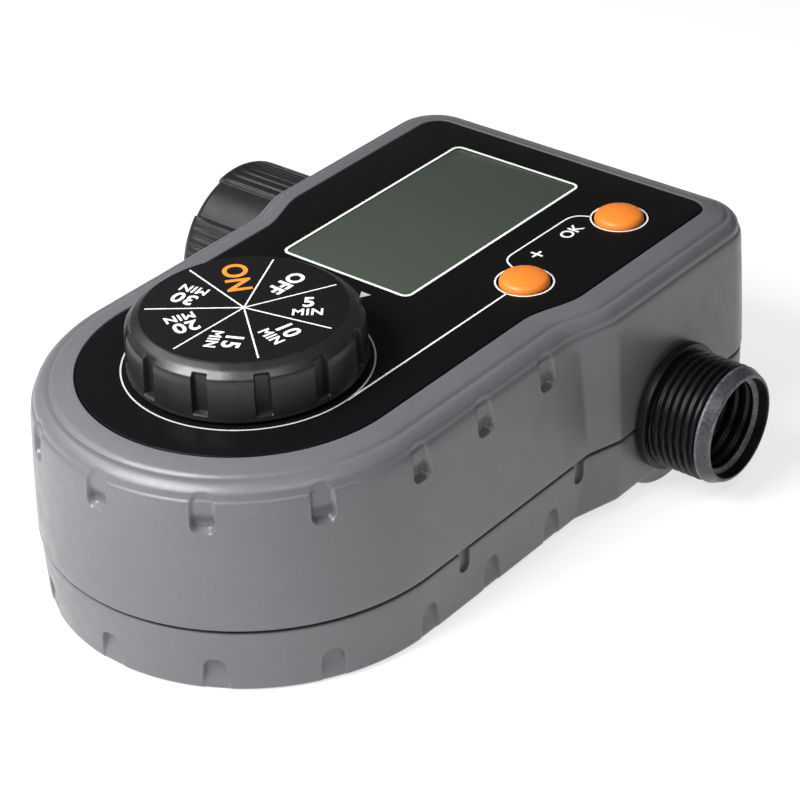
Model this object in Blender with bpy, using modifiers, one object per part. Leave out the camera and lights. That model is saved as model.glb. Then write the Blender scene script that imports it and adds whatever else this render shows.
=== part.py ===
# Drip irrigation timer: a battery tap timer with a motorised ball valve.
#
# Frame (metres, +Z up): the origin lies on the flat back under the dial's axis.
# +Z points out of the face, +Y towards the square end with the display, and
# +X towards the threaded outlet.  The water runs along X through the square end.
import bpy
import bmesh
import math
from mathutils import Matrix, Vector

for old in list(bpy.data.objects):
    bpy.data.objects.remove(old, do_unlink=True)

MM = 0.001

# ---------------------------------------------------------------- dimensions (mm)
Z_FACE = 47.9            # outer face of the faceplate
Z_PART = 14.7            # parting line of the housing, and the height of the water axis
Y_PIPE = 80.0            # water axis, measured from the dial's axis
X_WALL = 47.7            # half width of the square end at the parting line
GAP = 0.3                # clearance between pieces that rest on each other

# plan outlines: half width of the round end, half width of the square end,
# back edge, corner radius, start and end of the shoulder
PLATE = (34.4, 38.3, 107.8, 4.8, 44.5, 60.0)
RIM_IN = (34.7, 38.6, 108.1, 5.0, 44.5, 60.0)
RIM_OUT = (40.0, 43.8, 112.3, 8.2, 46.5, 61.0)
BEVEL = (43.4, 46.4, 115.0, 10.8, 48.0, 61.5)
WALL_TOP = (44.1, 46.9, 115.6, 11.5, 49.0, 62.0)
WALL_PART = (45.3, 47.7, 116.3, 12.0, 50.0, 62.0)
BACK_TOP = (45.0, 47.6, 116.1, 12.0, 50.0, 62.0)
BACK_LOW = (44.6, 47.6, 115.7, 12.0, 48.5, 61.0)
BACK_EDGE = (43.6, 46.6, 114.7, 11.2, 48.5, 61.0)

DIAL_R = 24.3            # knob
DIAL_TOP = 60.3
BUTTON_X = 25.6
BUTTON_Y = (57.5, 91.6)
BUTTON_R = 5.4
BUTTON_TRAVEL = 0.6
LCD = (-24.3, 9.6, 38.4, 98.7)     # window: x0, x1, y0, y1

OUTLET_END = 65.2
THREAD_R = 13.2          # G 3/4 male, 26.4 mm over the crests
THREAD_ROOT = 12.1
THREAD_PITCH = 1.81
INLET_END = -78.0
COLLAR_R = 20.8
BULGE_R = 18.6           # rear cover where it wraps the valve

SCREW_XY = ((26.5, -26.5), (-26.5, -26.5), (37.6, 32.0), (-37.6, 32.0), (38.2, 105.0), (-38.2, 105.0))

MODULE = 0.8             # gear train
WHEEL_TEETH = 36
PINION_TEETH = 12
CENTRES = MODULE * (WHEEL_TEETH + PINION_TEETH) / 2


def step(p, bearing_deg):
    """The next gear centre, one centre distance away."""
    a = math.radians(bearing_deg)
    return (p[0] + CENTRES * math.cos(a), p[1] + CENTRES * math.sin(a))


STEM_XY = (0.0, Y_PIPE)
GEAR2_XY = step(STEM_XY, -135.0)
GEAR1_XY = step(GEAR2_XY, -119.3)
MOTOR_XY = step(GEAR1_XY, -20.0)

# ---------------------------------------------------------------- collections, materials
scene = bpy.context.scene
parts = bpy.data.collections.new("drip_irrigation_timer")
cutters = bpy.data.collections.new("cutters")
scene.collection.children.link(parts)
scene.collection.children.link(cutters)


def material(name, rgb, rough, metal=0.0, alpha=1.0):
    m = bpy.data.materials.new(name)
    m.use_nodes = True
    b = m.node_tree.nodes["Principled BSDF"]
    b.inputs["Base Color"].default_value = (*rgb, 1.0)
    b.inputs["Roughness"].default_value = rough
    b.inputs["Metallic"].default_value = metal
    b.inputs["Alpha"].default_value = alpha
    return m


GREY = material("housing_grey", (0.20, 0.20, 0.21), 0.42)
BLACK = material("black_plastic", (0.018, 0.018, 0.02), 0.45)
GLOSS = material("plate_black", (0.010, 0.010, 0.011), 0.18)
GLASS = material("lcd_clear", (0.85, 0.88, 0.86), 0.08, 0.0, 0.35)
LCDMAT = material("lcd_grey_green", (0.075, 0.10, 0.078), 0.35)
ORANGE = material("button_orange", (0.90, 0.28, 0.04), 0.42)
RUBBER = material("seal_rubber", (0.03, 0.03, 0.03), 0.8)
WHITE = material("white_plastic", (0.75, 0.75, 0.72), 0.5)
BRASS = material("brass", (0.62, 0.45, 0.18), 0.3, 1.0)
STEEL = material("steel", (0.55, 0.55, 0.56), 0.3, 1.0)
BOARD = material("board_green", (0.02, 0.16, 0.06), 0.5)
CELL = material("cell_wrap", (0.10, 0.12, 0.16), 0.35)
RED = material("lead_red", (0.55, 0.03, 0.03), 0.5)


# ---------------------------------------------------------------- modelling helpers
def link(obj, cutter):
    (cutters if cutter else parts).objects.link(obj)
    if cutter:
        obj.hide_render = True
        obj.display_type = 'WIRE'
    return obj


def finish(name, bm, mat, origin=(0, 0, 0), cutter=False, smooth=35):
    """Turn a bmesh in millimetres, in world place, into an object with its origin at origin."""
    bmesh.ops.recalc_face_normals(bm, faces=bm.faces)
    bmesh.ops.translate(bm, verts=bm.verts, vec=-Vector(origin))
    bmesh.ops.scale(bm, verts=bm.verts, vec=(MM, MM, MM))
    mesh = bpy.data.meshes.new(name)
    bm.to_mesh(mesh)
    bm.free()
    obj = bpy.data.objects.new(name, mesh)
    obj.location = Vector(origin) * MM
    if mat:
        mesh.materials.append(mat)
    link(obj, cutter)
    if smooth and not cutter:
        mesh.shade_smooth()
        mesh.set_sharp_from_angle(angle=math.radians(smooth))
    return obj


def add_box(bm, x0, x1, y0, y1, z0, z1):
    c = Vector(((x0 + x1) / 2, (y0 + y1) / 2, (z0 + z1) / 2))
    m = Matrix.Translation(c) @ Matrix.Diagonal((x1 - x0, y1 - y0, z1 - z0, 1.0))
    return bmesh.ops.create_cube(bm, size=1.0, matrix=m)["verts"]


def add_cyl(bm, p0, p1, r0, r1=None, seg=24, phase=0.0):
    p0, p1 = Vector(p0), Vector(p1)
    d = p1 - p0
    rot = Vector((0, 0, 1)).rotation_difference(d.normalized()).to_matrix().to_4x4()
    m = Matrix.Translation((p0 + p1) / 2) @ rot @ Matrix.Rotation(phase, 4, 'Z')
    return bmesh.ops.create_cone(bm, cap_ends=True, cap_tris=False, segments=seg, radius1=r0,
                                 radius2=r0 if r1 is None else r1, depth=d.length, matrix=m)["verts"]


def add_prism(bm, pts, z0, z1, place=None):
    """Extrude a flat outline from z0 to z1; place carries it to where it lies."""
    place = place or Matrix.Identity(4)
    vs = [bm.verts.new((p[0], p[1], z0)) for p in pts]
    face = bm.faces.new(vs)
    out = bmesh.ops.extrude_face_region(bm, geom=[face])["geom"]
    top = [v for v in out if isinstance(v, bmesh.types.BMVert)]
    bmesh.ops.translate(bm, verts=top, vec=(0, 0, z1 - z0))
    bmesh.ops.transform(bm, matrix=place, verts=vs + top)


def add_loft(bm, rings):
    """Skin a stack of closed outlines that have the same number of points, and cap both ends."""
    rows = [[bm.verts.new(p) for p in ring] for ring in rings]
    n = len(rows[0])
    for a, b in zip(rows, rows[1:]):
        for i in range(n):
            j = (i + 1) % n
            bm.faces.new((a[i], a[j], b[j], b[i]))
    bm.faces.new(rows[0])
    bm.faces.new(list(reversed(rows[-1])))


def turned(name, profile, mat, origin, axis='Z', seg=24, closed=False, cutter=False, phase=0.0):
    """A turned piece: profile points are (radius, height along the axis), outer side run top to bottom."""
    mesh = bpy.data.meshes.new(name)
    verts = [(r * MM, 0.0, h * MM) for r, h in profile]
    edges = [(i, i + 1) for i in range(len(verts) - 1)]
    if closed:
        edges.append((len(verts) - 1, 0))
    mesh.from_pydata(verts, edges, [])
    obj = bpy.data.objects.new(name, mesh)
    if mat:
        mesh.materials.append(mat)
    link(obj, cutter)
    sc = obj.modifiers.new("turn", 'SCREW')
    sc.axis = 'Z'
    sc.angle = math.radians(360)
    sc.steps = sc.render_steps = seg
    sc.use_merge_vertices = True
    sc.merge_threshold = 0.00001
    sc.use_smooth_shade = True
    obj.location = Vector(origin) * MM
    if axis == 'X':
        obj.rotation_euler = (phase, math.radians(90), 0)
    elif phase:
        obj.rotation_euler = (0, 0, phase)
    return obj


def boolean(obj, tool, op='DIFFERENCE'):
    m = obj.modifiers.new(op.lower(), 'BOOLEAN')
    m.operation = op
    m.object = tool
    return m


def outline(shape, n_arc=22, n_s=5, n_c=4):
    """Plan outline of the case: round end about the dial's axis, two shoulders, square end."""
    hl, hs, yb, rc, y0, y1 = shape
    right = []
    for i in range(n_s + 1):
        t = i / n_s
        right.append((hl + (hs - hl) * (3 * t * t - 2 * t ** 3), y0 + (y1 - y0) * t))
    for i in range(n_c + 1):
        a = math.radians(90) * i / n_c
        right.append((hs - rc + rc * math.cos(a), yb - rc + rc * math.sin(a)))
    left = [(-x, y) for x, y in reversed(right)]
    arc = []
    for i in range(n_arc + 1):
        a = math.pi + math.pi * i / n_arc
        arc.append((hl * math.cos(a), hl * math.sin(a)))
    return right + left + arc


def ring(shape, z):
    return [(x, y, z) for x, y in outline(shape)]


def inset(shape, d):
    hl, hs, yb, rc, y0, y1 = shape
    return (hl - d, hs - d, yb - d, max(rc - d, 1.0), y0, y1)


def round_rect(x0, x1, y0, y1, r, n=3):
    pts = []
    for cx, cy, a0 in ((x1 - r, y1 - r, 0), (x0 + r, y1 - r, 90), (x0 + r, y0 + r, 180), (x1 - r, y0 + r, 270)):
        for i in range(n + 1):
            a = math.radians(a0 + 90 * i / n)
            pts.append((cx + r * math.cos(a), cy + r * math.sin(a)))
    return pts


def loop_piece(name, outer, inner, z0, z1, mat, cutter=False):
    """A flat loop between two outlines."""
    bm = bmesh.new()
    n = len(outer)
    rows = []
    for pts, z in ((outer, z0), (outer, z1), (inner, z1), (inner, z0)):
        rows.append([bm.verts.new((x, y, z)) for x, y in pts])
    for k in range(4):
        a, b = rows[k], rows[(k + 1) % 4]
        for i in range(n):
            j = (i + 1) % n
            bm.faces.new((a[i], a[j], b[j], b[i]))
    return finish(name, bm, mat, cutter=cutter)


# ---------------------------------------------------------------- grip scoops along both edges
SCOOP_ANGLES = [math.radians(-180 + 30 * i) for i in range(7)]
SCOOP_SIDES = (20.0, 40.5)


def scoop_cutter(name, reach, z, r):
    """Short cylinders lying along the wall; each takes one shallow bite out of the edge."""
    bm = bmesh.new()
    spots = [(a, 0.0, reach) for a in SCOOP_ANGLES]
    spots += [(0.0, y, reach) for y in SCOOP_SIDES] + [(math.pi, y, reach) for y in SCOOP_SIDES]
    for a, y, d in spots:
        out = Vector((math.cos(a), math.sin(a), 0))
        along = Vector((-math.sin(a), math.cos(a), 0))
        c = out * d + Vector((0, y, z))
        add_cyl(bm, c - along * 2.6, c + along * 2.6, r, seg=20 if r < 10 else 36)
    return finish(name, bm, None, cutter=True)


# ---------------------------------------------------------------- front cover
bm = bmesh.new()
add_loft(bm, [ring(WALL_PART, Z_PART + 0.15), ring(WALL_TOP, 39.6), ring(BEVEL, 43.9),
              ring(RIM_OUT, 46.7), ring(RIM_IN, Z_FACE)])
front = finish("front_cover", bm, GREY)

bm = bmesh.new()
add_loft(bm, [ring(inset(WALL_PART, 3.0), Z_PART - 2), ring(inset(WALL_TOP, 2.8), 38.6),
              ring(inset(RIM_OUT, 1.2), 44.5)])
boolean(front, finish("cut_front_inside", bm, None, cutter=True))

bm = bmesh.new()
for x, y in SCREW_XY:
    add_cyl(bm, (x, y, Z_PART + 0.15), (x, y, 45.2), 3.4, seg=12)
boolean(front, finish("front_bosses", bm, None, cutter=True), 'UNION')

bm = bmesh.new()
add_loft(bm, [ring(inset(PLATE, -0.3), 46.4), ring(inset(PLATE, -0.3), Z_FACE + 2)])
boolean(front, finish("cut_plate_recess", bm, None, cutter=True))

bm = bmesh.new()
add_box(bm, LCD[0] + 1.4, LCD[1] - 1.4, LCD[2] + 1.4, LCD[3] - 1.4, 43, 48)
for y in BUTTON_Y:
    add_cyl(bm, (BUTTON_X, y, 43), (BUTTON_X, y, 48), BUTTON_R + 0.5, seg=24)
add_cyl(bm, (0, 0, 43), (0, 0, 48), 5.3, seg=24)
for x, y in SCREW_XY:
    add_cyl(bm, (x, y, Z_PART - 1), (x, y, 36), 1.7, seg=10)
add_cyl(bm, (-60, Y_PIPE, Z_PART), (60, Y_PIPE, Z_PART), 12.7, seg=32)
boolean(front, finish("cut_front_holes", bm, None, cutter=True))
boolean(front, scoop_cutter("cut_scoops_top", 51.0, 40.3, 8.4))

# ---------------------------------------------------------------- rear cover
bm = bmesh.new()
add_loft(bm, [ring(BACK_EDGE, 0.0), ring(BACK_LOW, 1.1), ring(BACK_TOP, Z_PART - 0.15)])
rear = finish("rear_cover", bm, GREY)

bm = bmesh.new()
add_cyl(bm, (-47.5, Y_PIPE, Z_PART), (47.5, Y_PIPE, Z_PART), BULGE_R, seg=40, phase=math.radians(4.5))
bulge = finish("rear_bulge", bm, None, cutter=True)
bm = bmesh.new()
add_box(bm, -60, 60, 50, 110, 5.0, 60)
boolean(bulge, finish("cut_bulge_top", bm, None, cutter=True))
boolean(rear, bulge, 'UNION')

bm = bmesh.new()
add_loft(bm, [ring(inset(BACK_LOW, 3.0), 3.0), ring(inset(BACK_TOP, 3.0), Z_PART + 3)])
boolean(rear, finish("cut_rear_inside", bm, None, cutter=True))
bm = bmesh.new()
add_cyl(bm, (-44.4, Y_PIPE, Z_PART), (44.4, Y_PIPE, Z_PART), 16.2, seg=40, phase=math.radians(4.5))
boolean(rear, finish("cut_rear_belly", bm, None, cutter=True))

bm = bmesh.new()
for x, y in SCREW_XY:
    add_cyl(bm, (x, y, 1.5), (x, y, Z_PART - 0.45), 4.4, seg=14)
for x, y in ((-38.0, 44.0), (22.0, 54.0)):
    add_cyl(bm, (x, y, 1.5), (x, y, 26.4), 3.0, seg=10)
boolean(rear, finish("rear_posts", bm, None, cutter=True), 'UNION')

DOOR = (-20.0, 20.0, -33.0, 32.0)
bm = bmesh.new()
for x, y in SCREW_XY:
    add_cyl(bm, (x, y, -2), (x, y, 9.0), 3.3, seg=14)
add_cyl(bm, (-60, Y_PIPE, Z_PART), (60, Y_PIPE, Z_PART), 12.7, seg=32)
boolean(rear, finish("cut_rear_counterbores", bm, None, cutter=True))
bm = bmesh.new()
for x, y in SCREW_XY:
    add_cyl(bm, (x, y, 7.0), (x, y, 20), 1.8, seg=10)
boolean(rear, finish("cut_rear_screw_holes", bm, None, cutter=True))

bm = bmesh.new()
add_prism(bm, round_rect(DOOR[0] - 0.3, DOOR[1] + 0.3, DOOR[2] - 0.3, DOOR[3] + 0.3, 3.3), -1.0, 1.7)
boolean(rear, finish("cut_door_recess", bm, None, cutter=True))
bm = bmesh.new()
add_prism(bm, round_rect(-17.0, 17.0, -30.0, 29.0, 1.5), 1.0, 5.0)
boolean(rear, finish("cut_battery_opening", bm, None, cutter=True))
bm = bmesh.new()
for y in (11.0, 50.0):
    add_box(bm, 43.9, 50.0, y - 1.6, y + 1.6, 9.2, Z_PART + 1)
boolean(rear, finish("cut_pry_slots", bm, None, cutter=True))
boolean(rear, scoop_cutter("cut_scoops_bottom", 59.3, 0.5, 16.2))

# ---------------------------------------------------------------- seal between the covers, in two lengths
groove = loop_piece("cut_seal_groove", outline(inset(BACK_TOP, 0.9)), outline(inset(BACK_TOP, 2.3)),
                    Z_PART - 1.7, Z_PART + 2, None, cutter=True)
boolean(rear, groove)
for name, y_lo, y_hi in (("housing_seal_front", -60, 66.5), ("housing_seal_back", 93.5, 130)):
    seal = loop_piece(name, outline(inset(BACK_TOP, 1.2)), outline(inset(BACK_TOP, 2.0)), Z_PART - 1.4, Z_PART - 0.2, RUBBER)
    bm = bmesh.new()
    add_box(bm, -80, 80, y_lo, y_hi, 0, 40)
    boolean(seal, finish("cut_" + name, bm, None, cutter=True), 'INTERSECT')

# ---------------------------------------------------------------- faceplate, window, display
bm = bmesh.new()
add_loft(bm, [ring(PLATE, 46.7), ring(PLATE, Z_FACE - 0.25), ring(inset(PLATE, 0.25), Z_FACE)])
plate = finish("faceplate", bm, GLOSS)
bm = bmesh.new()
add_prism(bm, round_rect(LCD[0], LCD[1], LCD[2], LCD[3], 1.6), 45, 50)
for y in BUTTON_Y:
    add_cyl(bm, (BUTTON_X, y, 45), (BUTTON_X, y, 50), BUTTON_R + 0.4, seg=24)
add_cyl(bm, (0, 0, 45), (0, 0, 50), 5.3, seg=24)
boolean(plate, finish("cut_plate_holes", bm, None, cutter=True))

bm = bmesh.new()
add_prism(bm, round_rect(LCD[0] + 0.3, LCD[1] - 0.3, LCD[2] + 0.3, LCD[3] - 0.3, 1.4), 46.7, Z_FACE - 0.1)
finish("lcd_window", bm, GLASS)

bm = bmesh.new()
add_box(bm, LCD[0] - 1.7, LCD[1] + 1.7, LCD[2] - 1.7, LCD[3] + 1.7, 41.9, 44.1)
finish("lcd_panel", bm, LCDMAT, smooth=0)
bm = bmesh.new()
add_box(bm, LCD[0], LCD[1], LCD[2] - 1.4, LCD[2] + 1.2, 40.4, 41.6)
finish("lcd_connector", bm, RUBBER, smooth=0)

# ---------------------------------------------------------------- circuit board and what is on it
bm = bmesh.new()
add_loft(bm, [[(x, y, z) for x, y in outline((32.5, 33.0, 103.0, 3.0, 46.0, 58.0), n_arc=16, n_s=2, n_c=2)]
              for z in (38.5, 40.1)])
board = finish("main_board", bm, BOARD, smooth=0)

bm = bmesh.new()
add_box(bm, -7.0, 7.0, -7.0, 7.0, 40.4, 43.9)
enc = finish("rotary_encoder", bm, STEEL, smooth=0)
bm = bmesh.new()
add_cyl(bm, (0, 0, 39), (0, 0, 46), 3.4, seg=16)
boolean(enc, finish("cut_encoder", bm, None, cutter=True))

for name, y in (("tact_switch_plus", BUTTON_Y[0]), ("tact_switch_ok", BUTTON_Y[1])):
    bm = bmesh.new()
    add_box(bm, BUTTON_X - 3, BUTTON_X + 3, y - 3, y + 3, 40.4, 41.0)
    sw = finish(name, bm, BLACK, smooth=0)
    bm = bmesh.new()
    add_cyl(bm, (BUTTON_X, y, 40.8), (BUTTON_X, y, 41.5), 1.7, seg=12)
    boolean(sw, finish("plunger_" + name, bm, None, cutter=True), 'UNION')

bm = bmesh.new()
add_box(bm, -6.0, 6.0, 14.0, 26.0, 36.6, 38.2)
finish("processor_chip", bm, BLACK, smooth=0)

# ---------------------------------------------------------------- dial
knob = turned("dial_knob", [(0, 59.0), (20.7, 59.0), (20.8, 60.2), (22.5, 59.5),
                            (23.8, 57.6), (DIAL_R, 49.2), (23.9, 48.4),
                            (21.6, 48.4), (21.3, 57.0), (6.6, 57.4), (6.6, 48.4), (0, 48.4)],
              BLACK, (0, 0, 0), seg=36)
bm = bmesh.new()
for k in range(12):
    a = math.radians(-10 + 30 * k)
    vs = add_box(bm, 22.8, 27.0, -1.55, 1.55, 50.0, 58.2)
    bmesh.ops.rotate(bm, verts=vs, matrix=Matrix.Rotation(a, 3, 'Z'))
boolean(knob, finish("cut_knob_slots", bm, None, cutter=True))
bm = bmesh.new()
d_shape = [(3.3 * math.cos(math.radians(a)), 3.3 * math.sin(math.radians(a))) for a in range(40, 321, 20)]
add_prism(bm, d_shape, 47.0, 57.8)
boolean(knob, finish("cut_knob_bore", bm, None, cutter=True))

turned("dial_label_disc", [(0, DIAL_TOP), (20.2, DIAL_TOP), (20.4, 60.1), (20.4, 59.3), (0, 59.3)],
       GLOSS, (0, 0, 0), seg=36)

bm = bmesh.new()
add_cyl(bm, (0, 0, 40.6), (0, 0, 57.4), 3.0, seg=18)
shaft = finish("dial_shaft", bm, STEEL)
bm = bmesh.new()
add_box(bm, 2.2, 5.0, -5.0, 5.0, 48.0, 60.0)
boolean(shaft, finish("shaft_flat", bm, None, cutter=True))
turned("dial_seal", [(5.0, 46.2), (5.0, 45.0), (3.35, 45.0), (3.35, 46.2)], RUBBER, (0, 0, 0), seg=14, closed=True)

# ---------------------------------------------------------------- push buttons
for name, y in (("button_plus", BUTTON_Y[0]), ("button_ok", BUTTON_Y[1])):
    turned(name, [(0, 2.2), (3.2, 1.85), (4.9, 1.2), (BUTTON_R, 0.4), (BUTTON_R, -4.0),
                  (7.0, -4.0), (7.0, -5.0), (0, -5.4)],
           ORANGE, (BUTTON_X, y, Z_FACE), seg=20)

# ---------------------------------------------------------------- valve
def thread_rings(r_crest, r_root, h0, h1, pitch):
    """Thread crests as plain rings, running from h1 down to h0 along the outer side."""
    pts = []
    n = int((h1 - h0) / pitch)
    for i in range(n):
        top = h1 - i * pitch
        pts += [(r_root, top), (r_crest, top - pitch * 0.5)]
    pts.append((r_root, h1 - n * pitch))
    return pts


# body: flange, outlet thread, wide ball chamber open towards the inlet, neck for the stem
outer = [(10.7, OUTLET_END), (11.4, OUTLET_END), (11.8, OUTLET_END - 0.5), (11.8, 63.4)]
outer += thread_rings(THREAD_R, THREAD_ROOT, 50.6, 63.3, THREAD_PITCH)
outer += [(THREAD_ROOT, 50.4), (14.3, 50.4), (14.3, 48.4), (12.3, 48.2), (12.3, 26.0), (15.0, 24.0), (15.0, -22.0)]
inner = [(12.7, -22.0), (12.7, 12.3), (7.5, 12.3), (7.5, 50.0), (9.9, 50.6)]
for k in range(2):
    h = 56.0 + 3.6 * k
    inner += [(9.9, h), (10.7, h + 0.6)]
inner += [(9.9, 63.0)]
body = turned("valve_body", outer + inner, BLACK, (0, Y_PIPE, Z_PART), axis='X', seg=28, closed=True)
bm = bmesh.new()
add_cyl(bm, (0, Y_PIPE, Z_PART + 13.6), (0, Y_PIPE, 31.0), 8.0, seg=16)
boolean(body, finish("valve_neck", bm, None, cutter=True), 'UNION')
bm = bmesh.new()
add_cyl(bm, (0, Y_PIPE, Z_PART + 8), (0, Y_PIPE, 33.0), 5.35, seg=16)
boolean(body, finish("cut_neck_bore", bm, None, cutter=True))

# inlet side: plug that holds the ball seat, and the spigot that carries the collar
turned("inlet_spigot",
       [(12.4, -12.3), (12.4, -22.3), (15.0, -22.3), (15.0, -26.0), (12.3, -27.5), (12.3, -48.2), (9.6, -49.2),
        (9.6, -53.6), (8.6, -53.8), (8.6, -54.9), (9.6, -55.1), (9.6, -62.0), (11.8, -62.2), (11.8, -64.0),
        (8.2, -64.0), (8.2, -56.2), (7.2, -55.2), (7.2, -12.3)],
       BLACK, (0, Y_PIPE, Z_PART), axis='X', seg=18, closed=True)

turned("ball_seat_outlet", [(12.3, 12.0), (12.3, 6.6), (9.3, 6.6), (7.9, 8.2), (7.9, 12.0)], WHITE,
       (0, Y_PIPE, Z_PART), axis='X', seg=16, closed=True)
turned("ball_seat_inlet", [(12.3, -6.6), (12.3, -12.0), (7.9, -12.0), (7.9, -8.2), (9.3, -6.6)], WHITE,
       (0, Y_PIPE, Z_PART), axis='X', seg=16, closed=True)

bm = bmesh.new()
bmesh.ops.create_uvsphere(bm, u_segments=16, v_segments=12, radius=11.0, matrix=Matrix.Translation((0, Y_PIPE, Z_PART)))
ball = finish("valve_ball", bm, BRASS, origin=(0, Y_PIPE, Z_PART))
bm = bmesh.new()
add_cyl(bm, (-20, Y_PIPE, Z_PART), (20, Y_PIPE, Z_PART), 6.2, seg=14, phase=math.radians(7))

boolean(ball, finish("cut_ball_bore", bm, None, cutter=True))
bm = bmesh.new()
add_box(bm, -1.55, 1.55, Y_PIPE - 12.3, Y_PIPE + 12.3, Z_PART + 8.6, Z_PART + 14)
boolean(ball, finish("cut_ball_slot", bm, None, cutter=True))

stem = turned("valve_stem", [(0, 36.8), (2.6, 36.8), (2.6, 30.9), (5.0, 30.7), (5.0, 30.2), (3.4, 30.1), (3.4, 28.1), (5.0, 28.0),
                             (5.0, 26.4), (0, 26.4)], BRASS, (0, Y_PIPE, 0), seg=16)
bm = bmesh.new()
add_box(bm, -1.2, 1.2, Y_PIPE - 4.0, Y_PIPE + 4.0, Z_PART + 8.9, 27.0)
boolean(stem, finish("stem_blade", bm, None, cutter=True), 'UNION')
turned("stem_o_ring", [(4.2 + 0.6 * math.cos(a), 29.1 + 0.7 * math.sin(a)) for a in
                       [math.radians(90 - 90 * k) for k in range(4)]], RUBBER, (0, Y_PIPE, 0), seg=14, closed=True)

# ---------------------------------------------------------------- inlet: collar, ring, washer, filter
RIB_GROUPS = (76.5, 166.5, 256.5, 346.5)
pts = []
deg = 0.0
spans = []
for g in RIB_GROUPS:
    for k in range(6):
        a = g - 28.5 + 10.0 * k + 3.5
        spans += [(a - 4.2, COLLAR_R - 0.75), (a - 1.8, COLLAR_R), (a + 1.8, COLLAR_R)]
    for k in range(4):
        spans.append((g + 33.0 + 8.0 * k, COLLAR_R - 1.1))
for a, r in sorted((x % 360.0, r) for x, r in spans):
    pts.append((r * math.cos(math.radians(a)), r * math.sin(math.radians(a))))
bm = bmesh.new()
# local outline x, y, z goes to world Y, Z, X
carry = Matrix(((0, 0, 1, 0), (1, 0, 0, Y_PIPE), (0, 1, 0, Z_PART), (0, 0, 0, 1)))
add_prism(bm, pts, INLET_END, -50.2, carry)
collar = finish("inlet_collar", bm, BLACK, origin=(-64.0, Y_PIPE, Z_PART))
bore = [(0, -49.0), (10.0, -49.0), (10.0, -53.2), (14.6, -53.4), (14.6, -65.0)]
for k in range(4):
    h = -65.2 - 2.7 * k
    bore += [(12.3, h), (13.3, h - 1.35)]
bore += [(12.3, -76.2), (13.6, -77.4), (13.6, -79.0), (0, -79.0)]
boolean(collar, turned("cut_collar_bore", bore, None, (0, Y_PIPE, Z_PART), axis='X', seg=20, cutter=True))

turned("collar_retaining_ring", [(13.2, -53.9), (13.2, -54.8), (9.0, -54.8), (9.0, -53.9)], STEEL, (0, Y_PIPE, Z_PART),
       axis='X', seg=16, closed=True)
turned("inlet_washer", [(11.9, -65.6), (11.9, -67.6), (6.9, -67.6), (6.9, -65.6)], RUBBER, (0, Y_PIPE, Z_PART),
       axis='X', seg=16, closed=True)
turned("inlet_filter", [(0, -56.6), (7.0, -57.0), (7.9, -64.3), (11.6, -64.3), (11.6, -65.3), (7.0, -65.3), (6.2, -58.0), (0, -57.6)],
       WHITE, (0, Y_PIPE, Z_PART), axis='X', seg=16)

# ---------------------------------------------------------------- gear train
def involute_outline(teeth, phase, keep=None, hub=None):
    """Tooth flanks on the involute of a 20 degree gear, thinned for backlash."""
    rp = MODULE * teeth / 2
    rb = rp * math.cos(math.radians(20))
    ra = rp + 0.75 * MODULE
    rr = rp - 1.15 * MODULE
    inv20 = math.tan(math.radians(20)) - math.radians(20)
    half = 0.43 * math.pi * MODULE / (2 * rp)

    def half_angle(r):
        r = max(r, rb)
        t = math.acos(rb / r)
        return half + inv20 - (math.tan(t) - t)

    pts = []
    for k in range(teeth):
        c = phase + 2 * math.pi * k / teeth
        if keep and not keep(k):
            pts.append((hub * math.cos(c), hub * math.sin(c)))
            continue
        for r, s in ((rr, -1), (rp, -1), (ra, -1), (ra, 1), (rp, 1), (rr, 1)):
            if r == rp and teeth > 20:
                continue
            a = c + s * half_angle(r)
            pts.append((r * math.cos(a), r * math.sin(a)))
    return pts


def bearing(a, b):
    return math.atan2(b[1] - a[1], b[0] - a[0])


def gear(name, xy, wheel, pinion, bore, mat):
    """wheel and pinion: (teeth, phase, z0, z1)."""
    bm = bmesh.new()
    place = Matrix.Translation((xy[0], xy[1], 0))
    if wheel:
        add_prism(bm, involute_outline(wheel[0], wheel[1]), wheel[2], wheel[3], place)
    else:
        add_prism(bm, involute_outline(pinion[0], pinion[1]), pinion[2], pinion[3], place)
    obj = finish(name, bm, mat, origin=(xy[0], xy[1], 0), smooth=20)
    if wheel and pinion:
        bm = bmesh.new()
        add_prism(bm, involute_outline(pinion[0], pinion[1]), pinion[2], pinion[3], place)
        boolean(obj, finish("pinion_" + name, bm, None, cutter=True), 'UNION')
    if bore:
        bm = bmesh.new()
        add_cyl(bm, (xy[0], xy[1], 20), (xy[0], xy[1], 45), bore, seg=16)
        boolean(obj, finish("bore_" + name, bm, None, cutter=True))
    return obj


PA, PB, PC = (34.6, 36.6), (31.8, 33.8), (29.0, 31.0)      # planes of the three meshes
half_w = math.pi / WHEEL_TEETH
# the output wheel is a sector; its tooth 0 points at the pinion of gear 2
b_out = bearing(STEM_XY, GEAR2_XY)
bm = bmesh.new()
sector = involute_outline(WHEEL_TEETH, b_out, keep=lambda k: k <= 3 or k >= 24, hub=8.0)
add_prism(bm, sector, PA[0], PA[1], Matrix.Translation((STEM_XY[0], STEM_XY[1], 0)))
out_gear = finish("output_gear", bm, WHITE, origin=(STEM_XY[0], STEM_XY[1], 0), smooth=20)
bm = bmesh.new()
add_cyl(bm, (0, Y_PIPE, 30), (0, Y_PIPE, 45), 2.9, seg=20)
boolean(out_gear, finish("bore_output_gear", bm, None, cutter=True))

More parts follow.
